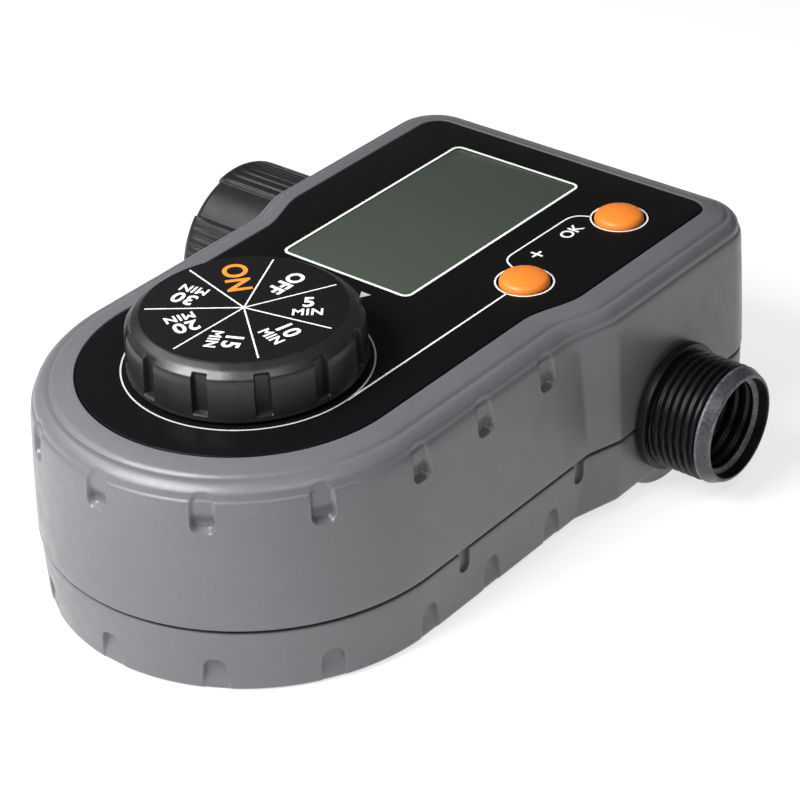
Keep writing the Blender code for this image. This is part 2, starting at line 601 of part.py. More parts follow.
b_21 = bearing(GEAR2_XY, GEAR1_XY)
gear("idler_gear_2", GEAR2_XY, (WHEEL_TEETH, b_21, PB[0], PB[1]),
     (PINION_TEETH, b_out + math.pi + math.pi / PINION_TEETH, PB[1] - 0.5, PA[1] + 0.1), 1.3, WHITE)
b_1m = bearing(GEAR1_XY, MOTOR_XY)
gear("idler_gear_1", GEAR1_XY, (WHEEL_TEETH, b_1m, PC[0], PC[1]),
     (PINION_TEETH, b_21 + math.pi + math.pi / PINION_TEETH, PC[1] - 0.5, PB[1] + 0.1), 1.3, WHITE)
gear("motor_pinion", MOTOR_XY, None, (PINION_TEETH, b_1m + math.pi + math.pi / PINION_TEETH, PC[0] - 0.2, PC[1] + 0.4), 1.3, BRASS)

bm = bmesh.new()
add_prism(bm, round_rect(-40.6, 26.0, 33.4, 69.0, 2.5, 2), 26.8, 28.4)
base = finish("gearbox_base", bm, BLACK)
bm = bmesh.new()
POSTS = ((-38.0, 64.5), (10.5, 36.8), (22.0, 65.5))
for x, y in POSTS:
    add_cyl(bm, (x, y, 28.0), (x, y, 36.7), 2.2, seg=10)
boolean(base, finish("gearbox_posts", bm, None, cutter=True), 'UNION')
bm = bmesh.new()
for x, y in (GEAR1_XY, GEAR2_XY):
    add_cyl(bm, (x, y, 20), (x, y, 30), 1.3, seg=12)
add_cyl(bm, (MOTOR_XY[0], MOTOR_XY[1], 20), (MOTOR_XY[0], MOTOR_XY[1], 30), 3.4, seg=16)
add_cyl(bm, (-37.6, 32.0, 20), (-37.6, 32.0, 30), 4.0, seg=16)
boolean(base, finish("cut_gearbox_base", bm, None, cutter=True))

bm = bmesh.new()
add_prism(bm, round_rect(-40.6, 26.0, 33.4, 98.0, 2.5, 2), 37.0, 38.1)
cover = finish("gearbox_cover", bm, BLACK)
bm = bmesh.new()
for x, y in (GEAR1_XY, GEAR2_XY):
    add_cyl(bm, (x, y, 36), (x, y, 40), 1.3, seg=12)
add_cyl(bm, (-37.6, 32.0, 36), (-37.6, 32.0, 40), 4.0, seg=16)
boolean(cover, finish("cut_gearbox_cover", bm, None, cutter=True))
for name, (x, y) in (("gear_axle_1", GEAR1_XY), ("gear_axle_2", GEAR2_XY)):
    bm = bmesh.new()
    add_cyl(bm, (x, y, 26.9), (x, y, 38.0), 1.0, seg=12)
    finish(name, bm, STEEL)

turned("drive_motor", [(1.4, 26.5), (8.8, 26.5), (9.8, 25.5), (9.8, 7.0), (8.8, 6.0), (1.4, 6.0)], STEEL,
       (MOTOR_XY[0], MOTOR_XY[1], 0), seg=20, closed=True)
bm = bmesh.new()
add_cyl(bm, (MOTOR_XY[0], MOTOR_XY[1], 7.0), (MOTOR_XY[0], MOTOR_XY[1], 31.0), 1.0, seg=12)
finish("motor_shaft", bm, STEEL, origin=(MOTOR_XY[0], MOTOR_XY[1], 0))

bm = bmesh.new()
add_box(bm, 17.5, 26.0, 84.0, 96.0, 31.5, 36.6)
finish("limit_switch", bm, BLACK, smooth=0)

# ---------------------------------------------------------------- batteries, tray, door
bm = bmesh.new()
add_box(bm, -18.6, 18.6, -32.0, 31.0, 3.3, 20.6)
tray = finish("battery_tray", bm, BLACK, smooth=0)
bm = bmesh.new()
add_box(bm, -17.2, 17.2, -30.6, 29.6, 2.0, 19.2)
boolean(tray, finish("cut_battery_tray", bm, None, cutter=True))

for name, x, y, s in (("battery_1", -7.9, 3.0, 1), ("battery_2", 7.9, -4.1, -1)):
    turned(name, [(0, 25.0), (2.7, 25.0), (2.7, 23.8), (6.7, 23.8), (7.1, 23.4), (7.1, -24.2), (6.7, -24.6), (0, -24.6)],
           CELL, (x, y, 10.9), seg=16)
    bpy.data.objects[name].rotation_euler = (math.radians(-90 * s), 0, 0)

bm = bmesh.new()
add_box(bm, -15.5, 15.5, 28.3, 29.2, 4.5, 17.5)
finish("battery_link_contact", bm, STEEL, smooth=0)
for name, x in (("battery_contact_negative", -7.9), ("battery_contact_positive", 7.9)):
    bm = bmesh.new()
    add_box(bm, x - 5.5, x + 5.5, -30.2, -29.4, 4.5, 17.5)
    finish(name, bm, STEEL, smooth=0)
for name, x, y0, s in (("battery_spring_1", -7.9, -29.1, 1), ("battery_spring_2", 7.9, 28.0, -1)):
    turned(name, [(2.6, 6.6), (4.6, 0.5), (4.6, 0.0), (4.0, 0.0), (2.0, 6.6)], STEEL, (x, y0, 10.9), seg=14, closed=True)
    bpy.data.objects[name].rotation_euler = (math.radians(-90 * s), 0, 0)

bm = bmesh.new()
add_prism(bm, round_rect(DOOR[0], DOOR[1], DOOR[2], DOOR[3], 3.0), 0.0, 1.4)
finish("battery_door", bm, GREY)

# ---------------------------------------------------------------- case screws
for i, (x, y) in enumerate(SCREW_XY):
    turned("case_screw_%d" % (i + 1), [(0, 24.0), (1.4, 22.5), (1.4, 8.7), (2.8, 8.7), (2.8, 7.2), (2.2, 6.6), (0, 6.6)],
           STEEL, (x, y, 0), seg=8)

# ---------------------------------------------------------------- leads
def lead(name, pts, mat, d=1.3):
    """A short lead that lies along its route inside the case, as a smooth curve through its points."""
    ps = [Vector(p) for p in pts]
    ps = [2 * ps[0] - ps[1]] + ps + [2 * ps[-1] - ps[-2]]
    route = []
    for i in range(1, len(ps) - 2):
        for k in range(3):
            t = k / 3
            a, b, c, e = ps[i - 1], ps[i], ps[i + 1], ps[i + 2]
            route.append(0.5 * ((2 * b) + (c - a) * t + (2 * a - 5 * b + 4 * c - e) * t * t + (3 * b - a - 3 * c + e) * t ** 3))
    route.append(ps[-2])
    cu = bpy.data.curves.new(name, 'CURVE')
    cu.dimensions = '3D'
    cu.bevel_depth = d / 2 * MM
    cu.bevel_resolution = 0
    cu.use_fill_caps = True
    sp = cu.splines.new('POLY')
    sp.points.add(len(route) - 1)
    for q, p in zip(sp.points, route):
        q.co = (p.x * MM, p.y * MM, p.z * MM, 1)
    cu.materials.append(mat)
    obj = bpy.data.objects.new(name, cu)
    parts.objects.link(obj)
    return obj


lead("battery_lead_red", [(10.5, -33.0, 14.0), (10.5, -34.5, 17.0), (10.5, -33.5, 25.0), (12.0, -24.0, 33.0), (12.0, -14.0, 37.4)], RED)
lead("battery_lead_black", [(-5.5, -33.0, 14.0), (-5.5, -34.5, 17.0), (-5.5, -33.5, 25.0), (-4.0, -24.0, 33.0), (-4.0, -14.0, 37.4)], BLACK)
lead("motor_lead_red", [(-8.0, 32.3, 9.0), (-8.0, 32.2, 15.0), (-7.0, 32.1, 24.0), (-6.0, 30.5, 33.0), (-6.0, 29.5, 37.6)], RED)
lead("motor_lead_black", [(-2.0, 32.3, 9.0), (-2.0, 32.2, 15.0), (-1.0, 32.1, 24.0), (2.0, 30.5, 33.0), (2.0, 29.5, 37.6)], BLACK)
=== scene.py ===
"""Drip irrigation timer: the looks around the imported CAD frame."""

import bisect
import math

import bmesh
import bpy
import numpy as np
from mathutils import Matrix, Vector


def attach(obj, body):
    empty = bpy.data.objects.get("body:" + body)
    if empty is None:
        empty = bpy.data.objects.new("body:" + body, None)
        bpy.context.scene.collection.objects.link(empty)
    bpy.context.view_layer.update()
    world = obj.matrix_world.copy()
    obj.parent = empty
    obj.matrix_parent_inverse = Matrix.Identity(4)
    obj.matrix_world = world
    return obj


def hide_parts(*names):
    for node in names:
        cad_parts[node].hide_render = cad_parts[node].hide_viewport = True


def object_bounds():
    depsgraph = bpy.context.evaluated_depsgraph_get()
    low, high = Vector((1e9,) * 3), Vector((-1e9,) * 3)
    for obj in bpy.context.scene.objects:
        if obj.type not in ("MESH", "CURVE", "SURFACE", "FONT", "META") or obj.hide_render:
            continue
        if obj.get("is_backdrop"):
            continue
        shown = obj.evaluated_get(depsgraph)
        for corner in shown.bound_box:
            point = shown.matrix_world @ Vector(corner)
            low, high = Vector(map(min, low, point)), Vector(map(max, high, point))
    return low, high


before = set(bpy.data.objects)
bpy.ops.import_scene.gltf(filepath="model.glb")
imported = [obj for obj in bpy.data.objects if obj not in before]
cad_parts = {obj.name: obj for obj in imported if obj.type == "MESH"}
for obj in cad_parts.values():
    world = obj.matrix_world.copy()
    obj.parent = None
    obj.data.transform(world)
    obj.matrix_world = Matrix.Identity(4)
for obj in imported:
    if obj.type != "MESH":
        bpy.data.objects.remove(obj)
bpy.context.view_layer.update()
scene = bpy.context.scene
scene.view_settings.view_transform = "Standard"
scene.view_settings.look = "None"

MM = 0.001
Z_FACE, Z_PART, Y_PIPE = 47.9, 14.7, 80.0
rad = math.radians

# ------------------------------------------------------------------ camera
YAW, PITCH, ROLL = rad(40.468), rad(32.097), rad(-2.517)
TX, TY, DIST, UNIT = -1.1899, 0.3033, 20.4129, 0.0254
_back = Vector((math.sin(YAW) * math.cos(PITCH), -math.cos(YAW) * math.cos(PITCH), math.sin(PITCH)))
_right = Vector((math.cos(YAW), math.sin(YAW), 0))
_up = _back.cross(_right)
_c, _s = math.cos(ROLL), math.sin(ROLL)
R0, R1, R2 = _c * _right + _s * _up, -_s * _right + _c * _up, _back
cam = bpy.data.objects.new("camera", bpy.data.cameras.new("camera"))
scene.collection.objects.link(cam)
cam.data.sensor_width = 36.0
cam.data.lens = 2604.73 * 36.0 / 800.0
cam.data.clip_start, cam.data.clip_end = 0.01, 20.0
_loc = (-TX * R0 - TY * R1 + DIST * R2) * UNIT + Vector((0, 0, Z_FACE * MM))
cam.matrix_world = Matrix(((R0.x, R1.x, R2.x, _loc.x), (R0.y, R1.y, R2.y, _loc.y), (R0.z, R1.z, R2.z, _loc.z), (0, 0, 0, 1)))
scene.camera = cam


# ------------------------------------------------------------------ materials
def moulded(name, rgb, rough, *, metal=0.0, spec=0.5, grain=0.12, grain_scale=2600.0, mottle=0.05, mottle_scale=38.0,
            vary=0.06, edge=0.0, edge_rgb=None, coat=0.0, coat_rough=0.1, alpha=1.0, streak=None):
    """A moulded, painted or machined surface: broad tone variation, a fine grain that drives bump and roughness,
    and worn edges where the surface turns sharply."""
    m = bpy.data.materials.new(name)
    m.use_nodes = True
    nt = m.node_tree
    b = nt.nodes["Principled BSDF"]
    new, link = nt.nodes.new, nt.links.new
    b.inputs["Metallic"].default_value = metal
    b.inputs["Specular IOR Level"].default_value = spec
    b.inputs["Coat Weight"].default_value = coat
    b.inputs["Coat Roughness"].default_value = coat_rough
    b.inputs["Alpha"].default_value = alpha
    tc = new("ShaderNodeTexCoord")
    mapping = new("ShaderNodeMapping")
    if streak:
        mapping.inputs["Scale"].default_value = streak
    link(tc.outputs["Object"], mapping.inputs["Vector"])

    broad = new("ShaderNodeTexNoise")
    broad.inputs["Scale"].default_value = mottle_scale
    broad.inputs["Detail"].default_value = 4.0
    link(tc.outputs["Object"], broad.inputs["Vector"])
    fine = new("ShaderNodeTexNoise")
    fine.inputs["Scale"].default_value = grain_scale
    fine.inputs["Detail"].default_value = 2.0
    fine.inputs["Roughness"].default_value = 0.6
    link(mapping.outputs["Vector"], fine.inputs["Vector"])
    mid = new("ShaderNodeTexNoise")
    mid.inputs["Scale"].default_value = mottle_scale * 6
    mid.inputs["Detail"].default_value = 3.0
    link(mapping.outputs["Vector"], mid.inputs["Vector"])

    tone = new("ShaderNodeMix")
    tone.data_type = "RGBA"
    tone.inputs["A"].default_value = (*[c * (1 - mottle) for c in rgb], 1)
    tone.inputs["B"].default_value = (*[min(1.0, c * (1 + mottle)) for c in rgb], 1)
    shift = new("ShaderNodeMapRange")
    shift.inputs["From Min"].default_value = 0.3
    shift.inputs["From Max"].default_value = 0.7
    link(broad.outputs["Fac"], shift.inputs["Value"])
    link(shift.outputs["Result"], tone.inputs["Factor"])
    speck = new("ShaderNodeMix")
    speck.data_type = "RGBA"
    speck.blend_type = "MULTIPLY"
    speck.inputs["Factor"].default_value = 1.0
    grains = new("ShaderNodeMapRange")
    grains.inputs["From Min"].default_value = 0.25
    grains.inputs["From Max"].default_value = 0.75
    grains.inputs["To Min"].default_value = 1.0 - mottle * 1.6
    grains.inputs["To Max"].default_value = 1.0 + mottle * 1.6
    link(fine.outputs["Fac"], grains.inputs["Value"])
    link(tone.outputs["Result"], speck.inputs["A"])
    link(grains.outputs["Result"], speck.inputs["B"])
    colour = speck.outputs["Result"]
    if edge:
        geo = new("ShaderNodeNewGeometry")
        worn = new("ShaderNodeMapRange")
        worn.inputs["From Min"].default_value = 0.515
        worn.inputs["From Max"].default_value = 0.60
        worn.inputs["To Max"].default_value = edge
        link(geo.outputs["Pointiness"], worn.inputs["Value"])
        mix = new("ShaderNodeMix")
        mix.data_type = "RGBA"
        link(worn.outputs["Result"], mix.inputs["Factor"])
        link(colour, mix.inputs["A"])
        mix.inputs["B"].default_value = (*(edge_rgb or [min(1, c * 2.2 + 0.04) for c in rgb]), 1)
        colour = mix.outputs["Result"]
    link(colour, b.inputs["Base Color"])

    r = new("ShaderNodeMapRange")
    r.inputs["From Min"].default_value = 0.3
    r.inputs["From Max"].default_value = 0.7
    r.inputs["To Min"].default_value = max(0.02, rough - vary)
    r.inputs["To Max"].default_value = min(1.0, rough + vary)
    link(mid.outputs["Fac"], r.inputs["Value"])
    link(r.outputs["Result"], b.inputs["Roughness"])
    bump = new("ShaderNodeBump")
    bump.inputs["Strength"].default_value = grain
    bump.inputs["Distance"].default_value = 0.0001
    link(fine.outputs["Fac"], bump.inputs["Height"])
    link(bump.outputs["Normal"], b.inputs["Normal"])
    return m


HOUSING = moulded("m_housing_grey", (0.120, 0.120, 0.130), 0.36, grain=0.30, grain_scale=2400, mottle=0.045, edge=0.0,
                  edge_rgb=(0.36, 0.36, 0.37))
PLATE_MAT = moulded("m_faceplate_black", (0.0045, 0.0045, 0.0050), 0.30, spec=0.08, grain=0.05, mottle=0.10, mottle_scale=20, edge=0.0,
                    edge_rgb=(0.05, 0.05, 0.05))
KNOB_MAT = moulded("m_knob_black", (0.0105, 0.0105, 0.0118), 0.35, spec=0.5, grain=0.14, grain_scale=2200, mottle=0.10, edge=0.0,
                   edge_rgb=(0.10, 0.10, 0.105))
DISC_MAT = moulded("m_dial_face_black", (0.0075, 0.0075, 0.0082), 0.40, spec=0.13, grain=0.08, mottle=0.08)
PIPE_MAT = moulded("m_fitting_black", (0.0060, 0.0060, 0.0070), 0.38, spec=0.24, grain=0.20, grain_scale=1800, mottle=0.14, edge=0.0,
                   edge_rgb=(0.13, 0.13, 0.14))
# the outlet's smooth band: a lighter grey that stands for dust and wear together with a painted highlight
LIP_WEAR_AND_HIGHLIGHT_MAT = moulded("m_fitting_lip_worn_and_painted_highlight", (0.036, 0.035, 0.042), 0.38, spec=0.5, grain=0.30, grain_scale=1500, mottle=0.35)
# the lip's end face, its crest ring and the inner step face: a still lighter grey that stands for wear together with a
# painted highlight
LIP_EDGE_WEAR_AND_HIGHLIGHT_MAT = moulded("m_fitting_lip_edge_worn_and_painted_highlight", (0.095, 0.098, 0.108), 0.45, spec=0.5, grain=0.30, grain_scale=1500, mottle=0.45, mottle_scale=160)
COLLAR_MAT = moulded("m_collar_black", (0.0120, 0.0114, 0.0122), 0.36, spec=0.50, grain=0.30, grain_scale=2000, mottle=0.10, edge=0.30,
                     edge_rgb=(0.09, 0.09, 0.092))
INNER_BLACK = moulded("m_inner_black", (0.018, 0.018, 0.02), 0.5, grain=0.2, mottle=0.08)
INK = moulded("m_print_white", (0.80, 0.82, 0.80), 0.5, grain=0.05, mottle=0.04, mottle_scale=90)
INK_GREY = moulded("m_print_grey", (0.50, 0.53, 0.49), 0.5, grain=0.05, mottle=0.05, mottle_scale=90)
INK_ORANGE = moulded("m_print_orange", (0.72, 0.25, 0.032), 0.5, grain=0.05, mottle=0.05, mottle_scale=90)
LCD_MAT = moulded("m_lcd_grey_green", (0.060, 0.074, 0.060), 0.35, spec=0.3, grain=0.03, mottle=0.03, mottle_scale=15)
LENS_MAT = moulded("m_window_clear", (0.060, 0.074, 0.060), 0.22, spec=0.18, grain=0.02, mottle=0.03, mottle_scale=12, alpha=0.82)
ORANGE = moulded("m_button_orange", (0.80, 0.215, 0.026), 0.42, spec=0.4, grain=0.25, grain_scale=2600, mottle=0.04, edge=0.0)
RUBBER = moulded("m_seal_rubber", (0.022, 0.022, 0.022), 0.75, spec=0.3, grain=0.5, grain_scale=1500, mottle=0.15)
WHITE = moulded("m_white_plastic", (0.74, 0.74, 0.70), 0.45, grain=0.12, mottle=0.04)
BRASS = moulded("m_brass", (0.62, 0.45, 0.19), 0.28, metal=1.0, grain=0.15, mottle=0.08, streak=(1, 1, 14), vary=0.09)
STEEL = moulded("m_steel", (0.52, 0.52, 0.53), 0.30, metal=1.0, grain=0.15, mottle=0.06, streak=(1, 12, 1), vary=0.09)
SCREW_MAT = moulded("m_screw_zinc", (0.46, 0.47, 0.48), 0.34, metal=1.0, grain=0.25, mottle=0.10, vary=0.10)
RED = moulded("m_lead_red", (0.52, 0.028, 0.025), 0.42, grain=0.1, mottle=0.06)
LEAD_BLACK = moulded("m_lead_black", (0.015, 0.015, 0.015), 0.45, grain=0.1, mottle=0.10)


def board_material():
    """Green solder mask with copper tracks showing faintly beneath it."""
    m = moulded("m_board_green", (0.012, 0.115, 0.045), 0.32, grain=0.06, mottle=0.08, coat=0.4)
    nt = m.node_tree
    b = nt.nodes["Principled BSDF"]
    old = b.inputs["Base Color"].links[0].from_socket
    tc = nt.nodes.new("ShaderNodeTexCoord")
    tracks = nt.nodes.new("ShaderNodeTexBrick")
    tracks.inputs["Scale"].default_value = 90
    tracks.inputs["Mortar Size"].default_value = 0.03
    tracks.inputs["Color1"].default_value = (1, 1, 1, 1)
    tracks.inputs["Color2"].default_value = (0.85, 0.95, 0.85, 1)
    tracks.inputs["Mortar"].default_value = (1.9, 1.7, 1.5, 1)
    nt.links.new(tc.outputs["Object"], tracks.inputs["Vector"])
    mix = nt.nodes.new("ShaderNodeMix")
    mix.data_type = "RGBA"
    mix.blend_type = "MULTIPLY"
    mix.inputs["Factor"].default_value = 1.0
    nt.links.new(old, mix.inputs["A"])
    nt.links.new(tracks.outputs["Color"], mix.inputs["B"])
    nt.links.new(mix.outputs["Result"], b.inputs["Base Color"])
    return m


def cell_material():
    """Battery wrap: a dark sleeve."""
    m = moulded("m_cell_wrap", (0.035, 0.05, 0.085), 0.28, grain=0.04, mottle=0.05, coat=0.5)
    return m


BOARD = board_material()
CELL = cell_material()


# ------------------------------------------------------------------ mesh helpers (millimetres in, metres out)
def make(name, verts, faces, mat, smooth=30, recalc=True):
    me = bpy.data.meshes.new(name)
    me.from_pydata((np.asarray(verts, float) * MM).tolist(), [], faces)
    if recalc:
        bm = bmesh.new()
        bm.from_mesh(me)
        bmesh.ops.recalc_face_normals(bm, faces=bm.faces)
        bm.to_mesh(me)
        bm.free()
    o = bpy.data.objects.new(name, me)
    scene.collection.objects.link(o)
    if mat:
        me.materials.append(mat)
    if smooth:
        me.shade_smooth()
        me.set_sharp_from_angle(angle=rad(smooth))
    return o


def from_bm(name, bm, mat=None, smooth=30):
    bmesh.ops.recalc_face_normals(bm, faces=bm.faces)
    bmesh.ops.scale(bm, verts=bm.verts, vec=(MM, MM, MM))
    me = bpy.data.meshes.new(name)
    bm.to_mesh(me)
    bm.free()
    o = bpy.data.objects.new(name, me)
    scene.collection.objects.link(o)
    if mat:
        me.materials.append(mat)
    if smooth:
        me.shade_smooth()
        me.set_sharp_from_angle(angle=rad(smooth))
    return o


def boolean(o, tool, op="DIFFERENCE", smooth=30):
    m = o.modifiers.new("b", "BOOLEAN")
    m.operation, m.object, m.solver = op, tool, "EXACT"
    bpy.context.view_layer.update()
    dg = bpy.context.evaluated_depsgraph_get()
    me = bpy.data.meshes.new_from_object(o.evaluated_get(dg))
    o.modifiers.clear()
    old = o.data
    mats = [x for x in old.materials]
    o.data = me
    me.name = o.name
    bpy.data.objects.remove(tool)
    me.materials.clear()
    for x in mats:
        me.materials.append(x)
    me.polygons.foreach_set("material_index", [0] * len(me.polygons))
    me.shade_smooth()
    me.set_sharp_from_angle(angle=rad(smooth))
    return o


def cyl(bm, p0, p1, r0, r1=None, seg=64, phase=0.0):
    p0, p1 = Vector(p0), Vector(p1)
    d = p1 - p0
    rot = Vector((0, 0, 1)).rotation_difference(d.normalized()).to_matrix().to_4x4()
    m = Matrix.Translation((p0 + p1) / 2) @ rot @ Matrix.Rotation(phase, 4, "Z")
    return bmesh.ops.create_cone(bm, cap_ends=True, segments=seg, radius1=r0, radius2=r0 if r1 is None else r1,
                                 depth=d.length, matrix=m)["verts"]


def box(bm, x0, x1, y0, y1, z0, z1):
    c = Vector(((x0 + x1) / 2, (y0 + y1) / 2, (z0 + z1) / 2))
    return bmesh.ops.create_cube(bm, size=1.0, matrix=Matrix.Translation(c) @ Matrix.Diagonal((x1 - x0, y1 - y0, z1 - z0, 1)))["verts"]


def prism(bm, pts, z0, z1):
    lo = [bm.verts.new((p[0], p[1], z0)) for p in pts]
    hi = [bm.verts.new((p[0], p[1], z1)) for p in pts]
    n = len(pts)
    for i in range(n):
        j = (i + 1) % n
        bm.faces.new((lo[i], lo[j], hi[j], hi[i]))
    bm.faces.new(list(reversed(lo)))
    bm.faces.new(hi)


def round_rect(x0, x1, y0, y1, r, n=8):
    pts = []
    for cx, cy, a0 in ((x1 - r, y1 - r, 0), (x0 + r, y1 - r, 90), (x0 + r, y0 + r, 180), (x1 - r, y0 + r, 270)):
        for i in range(n + 1):
            a = rad(a0 + 90 * i / n)
            pts.append((cx + r * math.cos(a), cy + r * math.sin(a)))
    return pts


def pillow(name, ring_fn, stations, mat, smooth=30):
    """A closed stack of outlines; ring_fn(inset) gives an outline, stations are (inset, z)."""
    rows = [ring_fn(d) for d, z in stations]
    n = len(rows[0])
    verts, faces = [], []
    for row, (d, z) in zip(rows, stations):
        verts += [(x, y, z) for x, y in row]
    for k in range(len(rows) - 1):
        a, b = k * n, (k + 1) * n
        for i in range(n):
            j = (i + 1) % n
            faces.append((a + i, a + j, b + j, b + i))
    faces.append(tuple(range(n)))
    faces.append(tuple(range(len(verts) - n, len(verts))))
    return make(name, verts, faces, mat, smooth)


def rounded(prof, r=0.3, n=4, closed=False, only=None):
    """Round a profile's corners with short curves of about radius r."""
    out = []
    m = len(prof)
    for i, p in enumerate(prof):
        if not closed and i in (0, m - 1) or (only is not None and i not in only):
            out.append(p)
            continue
        a, b = prof[i - 1], prof[(i + 1) % m]
        la, lb = math.dist(a, p), math.dist(b, p)
        if la < 1e-6 or lb < 1e-6:
            out.append(p)
            continue
        ra, rb = min(r, la * 0.45), min(r, lb * 0.45)
        s = (p[0] + (a[0] - p[0]) * ra / la, p[1] + (a[1] - p[1]) * ra / la)
        e = (p[0] + (b[0] - p[0]) * rb / lb, p[1] + (b[1] - p[1]) * rb / lb)
        for k in range(n + 1):
            t = k / n
            out.append(tuple((1 - t) ** 2 * s[q] + 2 * t * (1 - t) * p[q] + t * t * e[q] for q in (0, 1)))
    return out


def dense(prof, step, closed=False, where=None):
    """Add points along a profile so that none is further than step from the next."""
    out = []
    m = len(prof)
    for i in range(m if closed else m - 1):
        p, q = prof[i], prof[(i + 1) % m]
        out.append(p)
        if where and not where(p, q):
            continue
        k = int(math.dist(p, q) / step)
        out += [(p[0] + (q[0] - p[0]) * j / (k + 1), p[1] + (q[1] - p[1]) * j / (k + 1)) for j in range(1, k + 1)]
    if not closed:
        out.append(prof[-1])
    return out


def revolve(name, prof, mat, origin=(0, 0, 0), axis="Z", n=128, thetas=None, disp=None, closed=False, smooth=30):
    """A turned piece whose radius may be shaped by disp(R, H, TH). An open profile begins and ends on the axis."""
    th = np.linspace(0, 2 * math.pi, n, endpoint=False) if thetas is None else np.asarray(thetas, float)
    n = len(th)
    P = np.asarray(prof, float)
    R, H = P[:, 0][:, None] + 0 * th[None, :], P[:, 1][:, None] + 0 * th[None, :]
    if disp:
        R, H = disp(R, H, th[None, :] + 0 * R)
    C, S = np.cos(th)[None, :], np.sin(th)[None, :]
    if axis == "Z":
        V = np.stack([R * C + origin[0], R * S + origin[1], H + origin[2]], -1)
    else:
        V = np.stack([H + origin[0], R * C + origin[1], R * S + origin[2]], -1)
    m = len(P)
    verts, faces = [], []
    first, last = 0, m
    if not closed:
        first, last = 1, m - 1
    body = V[first:last].reshape(-1, 3)
    verts = body.tolist()
    rows = last - first
    for k in range(rows if closed else rows - 1):
        a, b = k * n, ((k + 1) % rows) * n
        for i in range(n):
            j = (i + 1) % n
            faces.append((a + i, a + j, b + j, b + i))
    if not closed:
        for row, base in ((0, 0), (m - 1, (rows - 1) * n)):
            verts.append(V[row].mean(0).tolist())
            c = len(verts) - 1
            for i in range(n):
                faces.append((base + i, base + (i + 1) % n, c))
    return make(name, verts, faces, mat, smooth)


def smooth01(t):
    t = np.clip(t, 0, 1)
    return t * t * (3 - 2 * t)


def place(o, body, nodes):
    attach(o, body)
    if nodes:
        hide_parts(*nodes)
    return o


# ------------------------------------------------------------------ the case outline
# half width of the round end, half width of the square end, back edge, corner radius, shoulder start and end
PLATE = (34.4, 38.3, 107.8, 4.8, 44.5, 60.0)
RIM_IN = (34.7, 38.6, 108.1, 5.0, 44.5, 60.0)
RIM_OUT = (40.0, 43.8, 112.3, 8.2, 46.5, 61.0)
BEVEL = (43.4, 46.4, 115.0, 10.8, 48.0, 61.5)
WALL_TOP = (44.1, 46.9, 115.6, 11.5, 51.0, 62.0)
WALL_PART = (45.3, 47.7, 116.3, 12.0, 52.5, 62.0)
BACK_TOP = (45.0, 47.6, 116.1, 12.0, 52.5, 62.0)
BACK_LOW = (44.6, 47.6, 115.7, 12.0, 48.5, 61.0)
BACK_EDGE = (43.6, 46.6, 114.7, 11.2, 48.5, 61.0)


def inset(s, d):
    return (s[0] - d, s[1] - d, s[2] - d, max(s[3] - d, 0.6), s[4], s[5])


def mix_shape(a, b, t):
    return tuple(x + (y - x) * t for x, y in zip(a, b))


SCOOP_ANGLES = [-180 + 30 * i for i in range(7)]
SCOOP_SIDES = (20.0, 40.5)
NEAR = [-3.4, -3.0, -2.75, -2.6, -2.48, -2.36, -2.24, -2.12, -2.0, -1.85, -1.65, -1.4, -1.1, -0.7, -0.3]
NEAR = NEAR + [0.0] + [-u for u in reversed(NEAR)]


def columns(fine=True):
    """Stations round the outline: ('A', angle) on the round end, ('S', side, y) on the straights,
    ('H', side, t) on the shoulders, ('L', side, t) beyond them, ('C', side, t) in the corners and ('B', t) along the back."""
    right = []
    ys = set(np.round(np.linspace(0, 43.6, 18 if fine else 8), 4).tolist())
    if fine:
        near = set()
        for c in SCOOP_SIDES:
            near |= {round(c + u, 4) for u in NEAR if c + u <= 43.95}
        near |= {round(u, 4) for u in NEAR if u >= 0}
        ys = {y for y in ys if all(abs(y - x) > 0.35 for x in near)} | near
    ys = sorted(ys | {0.0})
    right += [("S", 1, y) for y in ys]
    right += [("H", 1, t) for t in np.linspace(0, 1, 44 if fine else 20)]
    right += [("L", 1, t) for t in np.linspace(0, 1, 12 if fine else 5)[1:-1]]
    right += [("C", 1, t) for t in np.linspace(0, 1, 18 if fine else 9)]
    right += [("B", t) for t in np.linspace(1, -1, 18 if fine else 5)[1:-1]]
    left = [(k[0], -1, k[2]) for k in reversed(right) if k[0] != "B"]
    arc = set(np.round(np.linspace(-180, 0, 91 if fine else 41), 4).tolist())
    if fine:
        near = set()
        for c in SCOOP_ANGLES:
            near |= {round(c + math.degrees(u / 44.2), 4) for u in NEAR if -180 < c + math.degrees(u / 44.2) < 0}
        arc = {a for a in arc if all(abs(a - x) > 0.5 for x in near)} | near
    arc = sorted(a for a in arc if -179.95 < a < -0.05)
    return right + left + [("A", a) for a in arc]


def ramp(t, w=0.10):
    """A straight ramp whose two ends are rounded over the share w; returns its height and slope."""
    k = 1.0 / (1.0 - w)
    if t < w:
        return k * t * t / (2 * w), k * t / w
    if t > 1 - w:
        q = 1 - t
        return 1 - k * q * q / (2 * w), k * q / w
    return k * (t - w / 2), k


